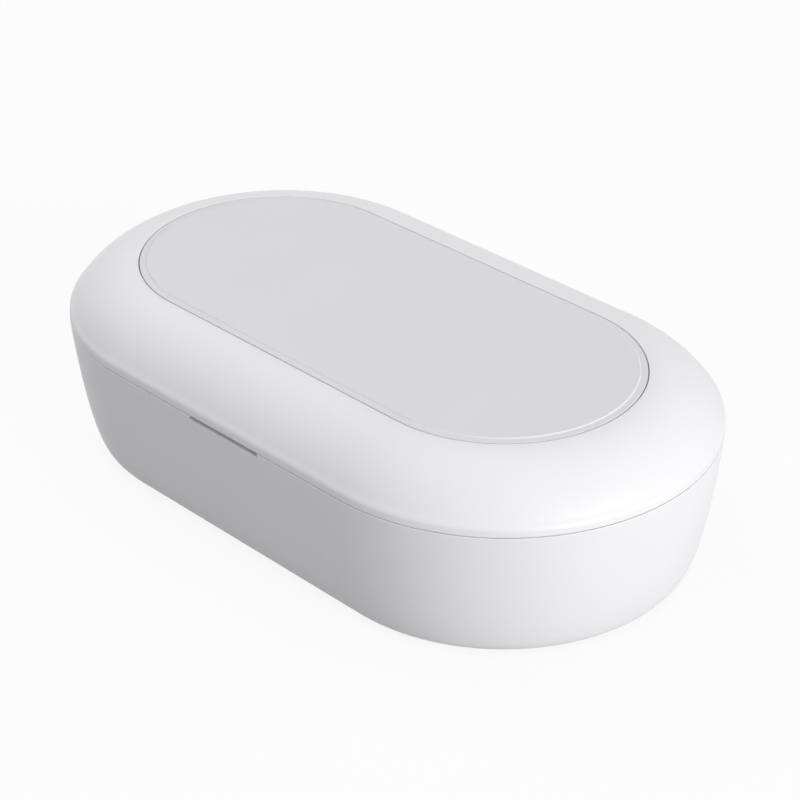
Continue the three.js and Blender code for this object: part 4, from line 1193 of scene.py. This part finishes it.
def thread(z0, z1):
    """A thread's saw-tooth edge between two heights"""
    points = []
    turns = int((z1 - z0) / THREAD_PITCH)
    for turn in range(turns):
        z = z0 + turn * THREAD_PITCH
        points += [(THREAD_ROOT, z), (SHANK_RADIUS, z + THREAD_PITCH / 2)]
    return [*points, (THREAD_ROOT, z0 + turns * THREAD_PITCH)]


def screw(spot, body, countersunk=False, head_up=False):
    """A thread-forming screw with a cross recess, its head at the lower or upper end of its spot"""
    length = spot.high - spot.low
    if countersunk:
        head = [(0, 0), (HEAD_RADIUS, 0), (HEAD_RADIUS, COUNTERSUNK_RIM), (SHANK_RADIUS, HEAD_HEIGHT)]
    else:
        crown = ((0, 0), (HEAD_RADIUS / 2, 0), (HEAD_RADIUS, 0), (HEAD_RADIUS, HEAD_DOME))
        head = [*bezier(*crown, LENS_STEPS), (HEAD_RADIUS, HEAD_HEIGHT), (SHANK_RADIUS, HEAD_HEIGHT)]
    profile = [*head, *thread(HEAD_HEIGHT + POINT_LENGTH, length - POINT_LENGTH), (0, length)]
    place = at(spot, spot.high) @ UPSIDE_DOWN if head_up else at(spot, spot.low)
    piece = turned(spot.node + "_fine", profile, place)
    for long_x, long_y in ((CROSS_REACH, CROSS_WIDTH / 2), (CROSS_WIDTH / 2, CROSS_REACH)):
        corners = ((-long_x, -long_y, -OVERRUN), (long_x, long_y, CROSS_DEPTH))
        recess = rounded_block("recess", *corners, 0)
        recess.data.transform(place)
        cut(piece, recess)
    finish_piece(piece, body, "screw_steel", spot.node)


def screws():
    """Every screw of the box, with the head that its place asks for"""
    for prefix in ("cover_screw", "board_screw", "base_bar_screw"):
        for spot in spots_of(prefix):
            screw(spot, "base")
    for spot in spots_of("charger_screw"):
        screw(spot, "lid")
    for spot in spots_of("lid_bar_screw"):
        screw(spot, "lid", head_up=True)
    for spot in spots_of("lid_screw"):
        screw(spot, "lid", countersunk=True)


# Light bars


def light_bar(name, body, node, screw_prefix):
    """A long white board with a screw hole at each end"""
    low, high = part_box(node)
    strip = rounded_block(name, low, high, BOARD_EDGE)
    for spot in spots_of(screw_prefix):
        cut(strip, post("hole", spot, low.z - OVERRUN, high.z + OVERRUN, SCREW_HOLE_RADIUS))
    finish_piece(strip, body, "light_board", node)


def uv_emitter(node, body, facing):
    """A UV-C emitter: a ceramic package with a well, its die, and a quartz lens over it"""
    low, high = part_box(node)
    spot = spot_of(node)
    back, front = (low.z, high.z) if facing > 0 else (high.z, low.z)
    rim = front - facing * EMITTER_LENS_HEIGHT
    floor_z = rim - facing * EMITTER_WELL_DEPTH
    package = rounded_block(
        node + "_package",
        (low.x, low.y, min(back, rim)),
        (high.x, high.y, max(back, rim)),
        EMITTER_EDGE,
    )
    mouth = sorted((floor_z, rim + facing * OVERRUN))
    cut(package, post("well", spot, *mouth, EMITTER_LENS_RADIUS - EMITTER_EDGE))
    finish_piece(package, body, "emitter", node)
    die_ends = sorted((floor_z, floor_z + facing * DIE_HEIGHT))
    die = square_block(node + "_die", spot.x, spot.y, DIE_SIZE / 2, *die_ends, DIE_EDGE)
    finish_piece(die, body, "emitter", look=die_finish)
    dome_height = EMITTER_LENS_HEIGHT - EMITTER_LENS_SIDE
    cap = [(0, 0), (EMITTER_LENS_RADIUS, 0)]
    for step in range(LENS_STEPS):
        angle = math.radians(90 * step / LENS_STEPS)
        up = EMITTER_LENS_SIDE + dome_height * math.sin(angle)
        cap.append((EMITTER_LENS_RADIUS * math.cos(angle), up))
    cap.append((0, EMITTER_LENS_HEIGHT))
    place = at(spot, rim) if facing > 0 else at(spot, rim) @ UPSIDE_DOWN
    finish_piece(turned(node + "_lens", cap, place), body, "emitter", look=finishes["window"])


# Underside


def underside_cover():
    """The bottom cover: foot pockets over the screws, bosses inside, and round-ended vents"""
    top = underside + COVER_THICKNESS
    profile = rounded([
        (cover_inset + EDGE_RADIUS, underside),
        (cover_inset, underside, EDGE_RADIUS),
        (cover_inset, top, EDGE_RADIUS),
        (cover_inset + EDGE_RADIUS * 2, top),
    ], False)
    cover = case_loft("underside_cover", profile)
    boss_top = top + COVER_BOSS_HEIGHT
    for spot in spots_of("foot_"):
        join(cover, post("boss", spot, top - EDGE_RADIUS, boss_top, COVER_BOSS_RADIUS))
        cut(
            cover,
            post("pocket", spot, -OVERRUN, spot.high + SEAT_GAP, FOOT_RADIUS + SIDE_GAP),
            post("head_room", spot, underside, boss_top - COVER_THICKNESS, HEAD_POCKET_RADIUS),
            post("hole", spot, underside, boss_top + OVERRUN, SCREW_HOLE_RADIUS),
        )
    vent = eased_mouth(EDGE_RADIUS, top + OVERRUN, underside)
    for index in range(VENT_COUNT):
        place = Matrix.Translation((0, middle_y + (index - (VENT_COUNT - 1) / 2) * VENT_SPACING, 0))
        cut(cover, oval_bar("vent", VENT_HALF_LENGTH, VENT_HALF_WIDTH, vent, place))
    finish_piece(cover, "base", "bottom_cover", "bottom_cover")


def rubber_feet():
    """Round feet with a soft edge and a shallow ring moulded in the sole"""
    ring_in, ring_out = FOOT_RING_RADIUS - FOOT_RING_WIDTH, FOOT_RING_RADIUS + FOOT_RING_WIDTH
    ring_deep = FOOT_RING_WIDTH / 2
    for spot in spots_of("foot_"):
        height = spot.high - spot.low
        profile = rounded([
            (0, 0),
            (ring_in, 0, EDGE_RADIUS),
            (ring_in + ring_deep, ring_deep, EDGE_RADIUS),
            (ring_out - ring_deep, ring_deep, EDGE_RADIUS),
            (ring_out, 0, EDGE_RADIUS),
            (FOOT_RADIUS, 0, FOOT_EDGE),
            (FOOT_RADIUS, height, EDGE_RADIUS),
            (0, height),
        ], False)
        foot = turned(spot.node + "_fine", profile, at(spot, spot.low), ROUND_STEPS)
        finish_piece(foot, "base", "foot_rubber", spot.node)


# Rear controls


def wall_plug(name, x, radius, back, proud, edge, dish):
    """A round plug through the rear wall. Its face follows the wall, with a soft edge and a dish."""

    def face_height(share):
        """How far the face stands out from the wall at a share of the radius"""
        from_edge = radius * (1 - share)
        rounding = edge - math.sqrt(max(edge ** 2 - max(edge - from_edge, 0) ** 2, 0))
        bowl_radius = (radius - 2 * edge) / radius
        bowl = max(1 - (share / bowl_radius) ** 2, 0) ** 2
        return proud - rounding - dish * bowl

    rings = [[(x + across, back, port_z + up) for across, up in circle(radius, ROUND_STEPS)]]
    edge_share = edge / radius
    turns = [math.radians(90 * step / FILLET_STEPS) for step in range(FILLET_STEPS)]
    shares = [1 - edge_share * (1 - math.cos(turn)) for turn in turns]
    shares += [(1 - edge_share) * (1 - step / CAP_RINGS) for step in range(CAP_RINGS)]
    for share in shares:
        outline = [(x + across, port_z + up) for across, up in circle(radius * share, ROUND_STEPS)]
        lift = face_height(share)
        rings.append([(along, rear_wall(height) + lift, height) for along, height in outline])
    rings.append([(x, rear_wall(port_z) + face_height(0), port_z)])
    return skin(name, rings)


def start_cap():
    """The start button: a dished cap, the ears that keep it in, and the stem to its switch"""
    ear_face = rear_wall(port_z - EAR_HALF_HEIGHT) - CASE_WALL - SIDE_GAP
    cap = wall_plug(
        "start_cap", button_x, BUTTON_RADIUS, cap_back, BUTTON_PROUD, BUTTON_EDGE, BUTTON_DISH,
    )
    stem_length = cap_back + CASE_WALL / 2 - button_back
    stem = turned("stem", rod(STEM_RADIUS, stem_length), along_y(button_x, button_back, port_z))
    ears = rounded_block(
        "ears",
        (button_x - EAR_HALF_SPAN, ear_face - EAR_THICKNESS, port_z - EAR_HALF_HEIGHT),
        (button_x + EAR_HALF_SPAN, ear_face, port_z + EAR_HALF_HEIGHT),
        EDGE_RADIUS,
    )
    join(cap, stem, ears)
    finish_piece(cap, "start_button", "case_shell", "start_button", look=lid_finish)


def status_window():
    """The end of the light pipe, flush with the wall and very slightly domed"""
    piece = wall_plug("status_window", lens_x, LENS_RADIUS, lens_back, 0, EDGE_RADIUS, 0)
    finish_piece(piece, "base", "status_lens", "status_lens")


def power_inlet():
    """The power inlet: a drawn steel shell with a rolled mouth, a black tongue and gilt contacts"""
    face = inlet_high.y
    place = along_y(inlet_x, face, port_z)
    length = face - inlet_low.y
    # The eased rim of a hole, turned inside out, is the rolled mouth of the shell
    rolled = [(-inset, -z) for inset, z in eased_mouth(INLET_LIP, length, 0)[1:-1]]
    levels = [(0, -length), *rolled]
    shell = oval_bar("inlet_shell", INLET_HALF_WIDTH, INLET_HALF_HEIGHT, levels, place)
    half_wide, half_high = INLET_HALF_WIDTH - INLET_WALL, INLET_HALF_HEIGHT - INLET_WALL
    hollow = eased_mouth(INLET_LIP, -INLET_CAVITY, 0)
    cut(shell, oval_bar("hollow", half_wide, half_high, hollow, place))
    finish_piece(shell, "base", "inlet_steel", "usb_c_inlet")
    tongue = rounded_block(
        "inlet_tongue",
        (inlet_x - TONGUE_HALF_WIDTH, face - INLET_CAVITY - INLET_WALL, port_z - TONGUE_HALF_HEIGHT),
        (inlet_x + TONGUE_HALF_WIDTH, face - TONGUE_SETBACK, port_z + TONGUE_HALF_HEIGHT),
        EDGE_RADIUS / 2,
    )
    finish_piece(tongue, "base", "inlet_steel", look=finishes["switch_black"])
    made = bmesh.new()
    for side in SIDES:
        for index in range(CONTACT_COUNT):
            x = inlet_x + (index - (CONTACT_COUNT - 1) / 2) * CONTACT_PITCH
            z = port_z + side * TONGUE_HALF_HEIGHT
            y = face - TONGUE_SETBACK - EDGE_RADIUS - CONTACT_LENGTH / 2
            size = Matrix.Diagonal((CONTACT_WIDTH, CONTACT_LENGTH, CONTACT_PROUD * 2, 1))
            bmesh.ops.create_cube(made, size=1, matrix=Matrix.Translation((x, y, z)) @ size)
    contacts = new_piece("inlet_contacts", made)
    finish_piece(contacts, "base", "inlet_steel", look=contact_finish)


# Boards and what is on them


def bare_board(name, body, node, z0, z1, screw_prefix):
    """A laminate board whose screw holes are plated through, with a tinned ring on both faces"""
    low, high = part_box(node)
    laminate = rounded_block(name, (low.x, low.y, z0), (high.x, high.y, z1), BOARD_EDGE)
    outer = SCREW_HOLE_RADIUS + HOLE_PLATING
    plating = [
        (SCREW_HOLE_RADIUS, z0 - HOLE_PLATING),
        (HOLE_RING_RADIUS, z0 - HOLE_PLATING),
        (HOLE_RING_RADIUS, z0),
        (outer, z0),
        (outer, z1),
        (HOLE_RING_RADIUS, z1),
        (HOLE_RING_RADIUS, z1 + HOLE_PLATING),
        (SCREW_HOLE_RADIUS, z1 + HOLE_PLATING),
    ]
    for spot in spots_of(screw_prefix):
        cut(laminate, post("hole", spot, z0 - OVERRUN, z1 + OVERRUN, outer))
        sleeve = turned(spot.node + "_sleeve", plating, at(spot, 0), closed=True)
        finish_piece(sleeve, body, "board_laminate", look=finishes["inlet_steel"])
    finish_piece(laminate, body, "board_laminate", node)


def bent_leg(legs, x, y, seat, shoulder, side, facing):
    """Adds one leg of a chip to a mesh, from the moulding's shoulder down to its pad on the board"""
    bend = LEG_REACH / 2
    inner = bend - LEG_THICKNESS
    under = shoulder - LEG_THICKNESS
    outline = [(0, under), (inner, under), (inner, 0), (LEG_REACH, 0)]
    outline += [(LEG_REACH, LEG_THICKNESS), (bend, LEG_THICKNESS), (bend, shoulder), (0, shoulder)]
    edges = []
    for across in (-LEG_WIDTH / 2, LEG_WIDTH / 2):
        places = [(x + side * reach, y + across, seat + facing * up) for reach, up in outline]
        edges.append([legs.verts.new(place) for place in places])
        legs.faces.new(edges[-1])
    near, far = edges
    for index in range(len(outline)):
        legs.faces.new((near[index - 1], near[index], far[index], far[index - 1]))


def chip(name, body, x, y, seat, height, size, facing):
    """A moulded chip on a board, with a row of bent legs on two sides"""
    half = size / 2 - LEG_REACH
    ends = sorted((seat + facing * LEG_THICKNESS, seat + facing * height))
    moulding = square_block(name, x, y, half, *ends, CHIP_EDGE)
    finish_piece(moulding, body, "board_laminate", look=finishes["switch_black"])
    legs = bmesh.new()
    count = int(2 * half / LEG_PITCH)
    for side in SIDES:
        for index in range(count):
            leg_y = y + (index - (count - 1) / 2) * LEG_PITCH
            bent_leg(legs, x + side * half, leg_y, seat, height / 2, side, facing)
    finish_piece(new_piece(name + "_legs", legs), body, "board_laminate", look=finishes["inlet_steel"])


def capacitor(name, x, y, seat):
    """An electrolytic can: black base, drawn aluminium can with a rolled top and a dimple"""
    can_seat = seat + CAN_SEAT_HEIGHT
    base = square_block(name + "_base", x, y, CAN_SEAT_HALF, seat, can_seat, CHIP_EDGE)
    finish_piece(base, "base", "board_laminate", look=finishes["switch_black"])
    profile = rounded([
        (0, 0),
        (CAN_RADIUS, 0, EDGE_RADIUS),
        (CAN_RADIUS, CAN_HEIGHT, CAN_ROLL),
        (CAN_RADIUS - CAN_ROLL, CAN_HEIGHT, CAN_ROLL / 2),
        (CAN_RADIUS - CAN_ROLL, CAN_HEIGHT - CAN_DIMPLE, CAN_ROLL / 2),
        (0, CAN_HEIGHT - CAN_DIMPLE),
    ], False)
    can = turned(name + "_can", profile, Matrix.Translation((x, y, can_seat)))
    finish_piece(can, "base", "board_laminate", look=finishes["inlet_steel"])


def main_board():
    """The control board, with its chip and two capacitors"""
    seat = board_low.z + BOARD_THICKNESS
    middle = (board_low.y + board_high.y) / 2
    bare_board("control_board", "base", "main_board", board_low.z, seat, "board_screw")
    chip("controller", "base", lens_x, middle, seat, BOARD_CHIP_HEIGHT, BOARD_CHIP_SIZE, 1)
    for side, name in zip(SIDES, ("left", "right")):
        capacitor("capacitor_" + name, inlet_x + side * CAN_SPACING / 2, middle, seat)


def charger():
    """The charger's board with its two chips hanging below, the ferrite sheet and the wound coil"""
    low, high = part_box("charger_board")
    under = high.z - CHARGER_BOARD_THICKNESS
    middle = (low + high) / 2
    bare_board("charger_laminate", "lid", "charger_board", under, high.z, "charger_screw")
    for side, name in zip(SIDES, ("left", "right")):
        x = middle.x + side * CHARGER_CHIP_SIZE
        chip(
            "charger_chip_" + name, "lid", x, middle.y, under,
            CHARGER_CHIP_HEIGHT, CHARGER_CHIP_SIZE, -1,
        )
    ferrite_low, ferrite_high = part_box("ferrite_sheet")
    ferrite = rounded_block("ferrite_film", ferrite_low, ferrite_high, BOARD_EDGE)
    finish_piece(ferrite, "lid", "ferrite", "ferrite_sheet")
    finish_piece(coil_winding(), "lid", "coil_copper", "charging_coil")


def coil_winding():
    """One flat layer of enamelled wire, wound outwards"""
    low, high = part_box("charging_coil")
    middle = (low + high) / 2
    wire_radius = (high.x - middle.x - COIL_INNER_RADIUS) / (COIL_TURNS + 1) / 2
    section = circle(wire_radius - VARNISH_GAP / 2, WIRE_SIDES)
    rings = []
    for step in range(COIL_TURNS * COIL_STEPS + 1):
        turns = step / COIL_STEPS
        outward = Vector((math.cos(2 * math.pi * turns), math.sin(2 * math.pi * turns), 0))
        centre = middle + outward * (COIL_INNER_RADIUS + wire_radius * (1 + 2 * turns))
        rings.append([centre + outward * across + Vector((0, 0, up)) for across, up in section])
    return skin("coil_winding", rings)


# Switch, status light, sensor and magnets


def start_switch():
    """The switch behind the button, and the plunger that the button's stem pushes"""
    low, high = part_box("start_switch")
    body = rounded_block("switch_body", low, high, SWITCH_EDGE)
    place = along_y(button_x, high.y - SWITCH_BORE_DEPTH, port_z)
    cut(body, turned("bore", rod(SWITCH_BORE_RADIUS, SWITCH_BORE_DEPTH + OVERRUN), place))
    finish_piece(body, "base", "switch_black", "start_switch")
    low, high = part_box("switch_plunger")
    profile = rod((high.x - low.x) / 2, high.y - low.y, PLUNGER_EDGE)
    plunger = turned("plunger", profile, along_y(button_x, low.y, port_z))
    finish_piece(plunger, "start_button", "switch_black", "switch_plunger")


def status_light():
    """A small white package whose round window faces the light pipe"""
    low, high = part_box("status_led")
    package = rounded_block("status_package", low, high, SWITCH_EDGE / 2)
    place = along_y(lens_x, high.y - STATUS_WINDOW_DEPTH, port_z)
    cut(package, turned("window", rod(STATUS_WINDOW_RADIUS, OVERRUN), place))
    finish_piece(package, "base", "emitter", "status_led")
    drop = turned("status_drop", rod(STATUS_WINDOW_RADIUS, STATUS_WINDOW_DEPTH / 2), place)
    finish_piece(drop, "base", "emitter", look=finishes["status_lens"])


def lid_sensor():
    """A reed sensor moulded in black, with rounded ends"""
    low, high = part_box("lid_sensor")
    profile = rod((high.z - low.z) / 2, high.x - low.x, SENSOR_EDGE)
    sensor = turned("reed_sensor", profile, along_x(low.x, (low.y + high.y) / 2, (low.z + high.z) / 2))
    finish_piece(sensor, "base", "switch_black", "lid_sensor")


def magnets():
    """Plated discs with a rounded edge, two in the base and two in the lid"""
    for body in ("base", "lid"):
        for spot in spots_of(body + "_magnet"):
            low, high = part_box(spot.node)
            profile = rod((high.x - low.x) / 2, high.z - low.z, MAGNET_EDGE)
            disc = turned(spot.node + "_fine", profile, at(spot, spot.low))
            finish_piece(disc, body, "magnet", spot.node)


# Camera, light and floor

AZIMUTH = math.radians(45.91)
ELEVATION = math.radians(30.92)
ROLL = math.radians(-0.65)
DISTANCE = 605.14 * MM
TARGET = Vector((20.107 * MM, -15.024 * MM, 38.5 * MM))
SENSOR = 36
FOCAL_PIXELS = 2346.5
PHOTO_PIXELS = 800
CLIP_START = 10 * MM
CLIP_END = 20000 * MM

# Each soft lamp's direction from the box, its side and its power in watts
LAMP_DISTANCE = 1500 * MM
SOFTBOXES = {
    "key_softbox": ((0.95, -0.05, 0.15), 1000 * MM, 20.6),
    "overhead_softbox": ((-0.45, 0, 0.9), 1400 * MM, 5.4),
    "left_softbox": ((-0.85, 0.1, 0.5), 1000 * MM, 2.7),
}

# Rays that show the background, straight or in gloss and glass. The others light the box.
SEEN_RAYS = ("Is Camera Ray", "Is Glossy Ray", "Is Transmission Ray")

# The room's light on the box as a share of white, and its tone in view
ROOM_FILL = 0.49
ROOM_WHITE = "f9f9fa"

# The floor's tone in view, the share of it that glows white, and the darker tone that lights the box
FLOOR_HALF = 4000 * MM
FLOOR_PAPER = "f8f8fa"
FLOOR_GLOW = 0.88
FLOOR_BOUNCE = "a0a0a4"


def photo_camera():
    """The camera at the photograph's place, square on a point of the box"""
    data = bpy.data.cameras.new("photo_camera")
    data.sensor_width = SENSOR
    data.sensor_fit = "HORIZONTAL"
    data.lens = SENSOR * FOCAL_PIXELS / PHOTO_PIXELS
    data.clip_start = CLIP_START
    data.clip_end = CLIP_END
    camera = bpy.data.objects.new("photo_camera", data)
    bpy.context.scene.collection.objects.link(camera)
    back = Vector((
        math.sin(AZIMUTH) * math.cos(ELEVATION),
        -math.cos(AZIMUTH) * math.cos(ELEVATION),
        math.sin(ELEVATION),
    ))
    level = Vector((0, 0, 1)).cross(back).normalized()
    upright = back.cross(level)
    right = level * math.cos(ROLL) + upright * math.sin(ROLL)
    up = upright * math.cos(ROLL) - level * math.sin(ROLL)
    turn = Matrix((right, up, back)).transposed().to_4x4()
    camera.matrix_world = Matrix.Translation(TARGET + back * DISTANCE) @ turn
    bpy.context.scene.camera = camera


def soft_lamp(name, direction, size, power):
    """A square soft lamp that faces the box from a direction"""
    data = bpy.data.lights.new(name, "AREA")
    data.shape = "SQUARE"
    data.size = size
    data.energy = power
    lamp = bpy.data.objects.new(name, data)
    bpy.context.scene.collection.objects.link(lamp)
    lamp.location = TARGET + Vector(direction).normalized() * LAMP_DISTANCE
    lamp.rotation_euler = (TARGET - lamp.location).to_track_quat("-Z", "Y").to_euler()


def seen_share(material):
    """1 for rays that show the background and 0 for the rest"""
    path = add_node(material, "ShaderNodeLightPath")
    share = path.outputs[SEEN_RAYS[0]]
    for ray in SEEN_RAYS[1:]:
        pair = {0: share, 1: path.outputs[ray]}
        share = add_node(material, "ShaderNodeMath", {"operation": "MAXIMUM"}, pair).outputs["Value"]
    return share


def studio_light():
    """A large soft lamp low on the right, weaker ones above and on the left, and an even white room"""
    for name, (direction, size, power) in SOFTBOXES.items():
        soft_lamp(name, direction, size, power)
    world = bpy.data.worlds.new("studio")
    world.use_nodes = True
    bpy.context.scene.world = world
    background = world.node_tree.nodes["Background"]
    background.inputs["Color"].default_value = linear(ROOM_WHITE)
    settings = {"To Min": ROOM_FILL, "To Max": 1}
    strength = add_node(world, "ShaderNodeMapRange", settings, {"Value": seen_share(world)})
    link(world, strength.outputs["Result"], background.inputs["Strength"])


def floor():
    """White coated paper under the box. It keeps the box's soft shadow and throws back little light."""
    made = bmesh.new()
    corners = [(-1, -1), (1, -1), (1, 1), (-1, 1)]
    made.faces.new([made.verts.new((x * FLOOR_HALF, y * FLOOR_HALF, 0)) for x, y in corners])
    sheet = new_piece("floor", made)
    material = surface("paper_white_coated", (FLOOR_PAPER,), (0.9,), ior=1.5)
    shader = shader_of(material)
    shader.inputs["Specular IOR Level"].default_value = 0
    seen = seen_share(material)
    paper = add_node(material, "ShaderNodeValToRGB", links={"Fac": seen})
    for stop, tone in zip(paper.color_ramp.elements, (FLOOR_BOUNCE, FLOOR_PAPER)):
        stop.color = linear(tone)
    link(material, paper.outputs["Color"], shader.inputs["Base Color"])
    glow = add_node(material, "ShaderNodeEmission", {"Color": linear("ffffff"), "Strength": 1.0})
    share = add_node(material, "ShaderNodeMath", {"operation": "MULTIPLY", 1: FLOOR_GLOW}, {0: seen})
    mixed = add_node(material, "ShaderNodeMixShader", links={
        "Fac": share.outputs["Value"],
        1: shader.outputs["BSDF"],
        2: glow.outputs["Emission"],
    })
    result = material.node_tree.nodes["Material Output"]
    link(material, mixed.outputs["Shader"], result.inputs["Surface"])
    sheet.data.materials.append(material)


photo_camera()
finish_cad_nodes()
base_casing()
pin()
lid_casing()
pad_plate()
chamber_tray()
chamber_ceiling()
quartz_pane("base_pane", "base", "base_window")
quartz_pane("lid_pane", "lid", "lid_window")
light_bar("base_strip", "base", "base_light_bar", "base_bar_screw")
light_bar("lid_strip", "lid", "lid_light_bar", "lid_bar_screw")
for number in range(1, EMITTERS_PER_BAR + 1):
    uv_emitter(f"base_uv_led_{number}", "base", 1)
    uv_emitter(f"lid_uv_led_{number}", "lid", -1)
screws()
underside_cover()
rubber_feet()
start_cap()
status_window()
power_inlet()
main_board()
charger()
start_switch()
status_light()
lid_sensor()
magnets()
studio_light()
floor()
bpy.context.scene.view_settings.view_transform = "Standard"
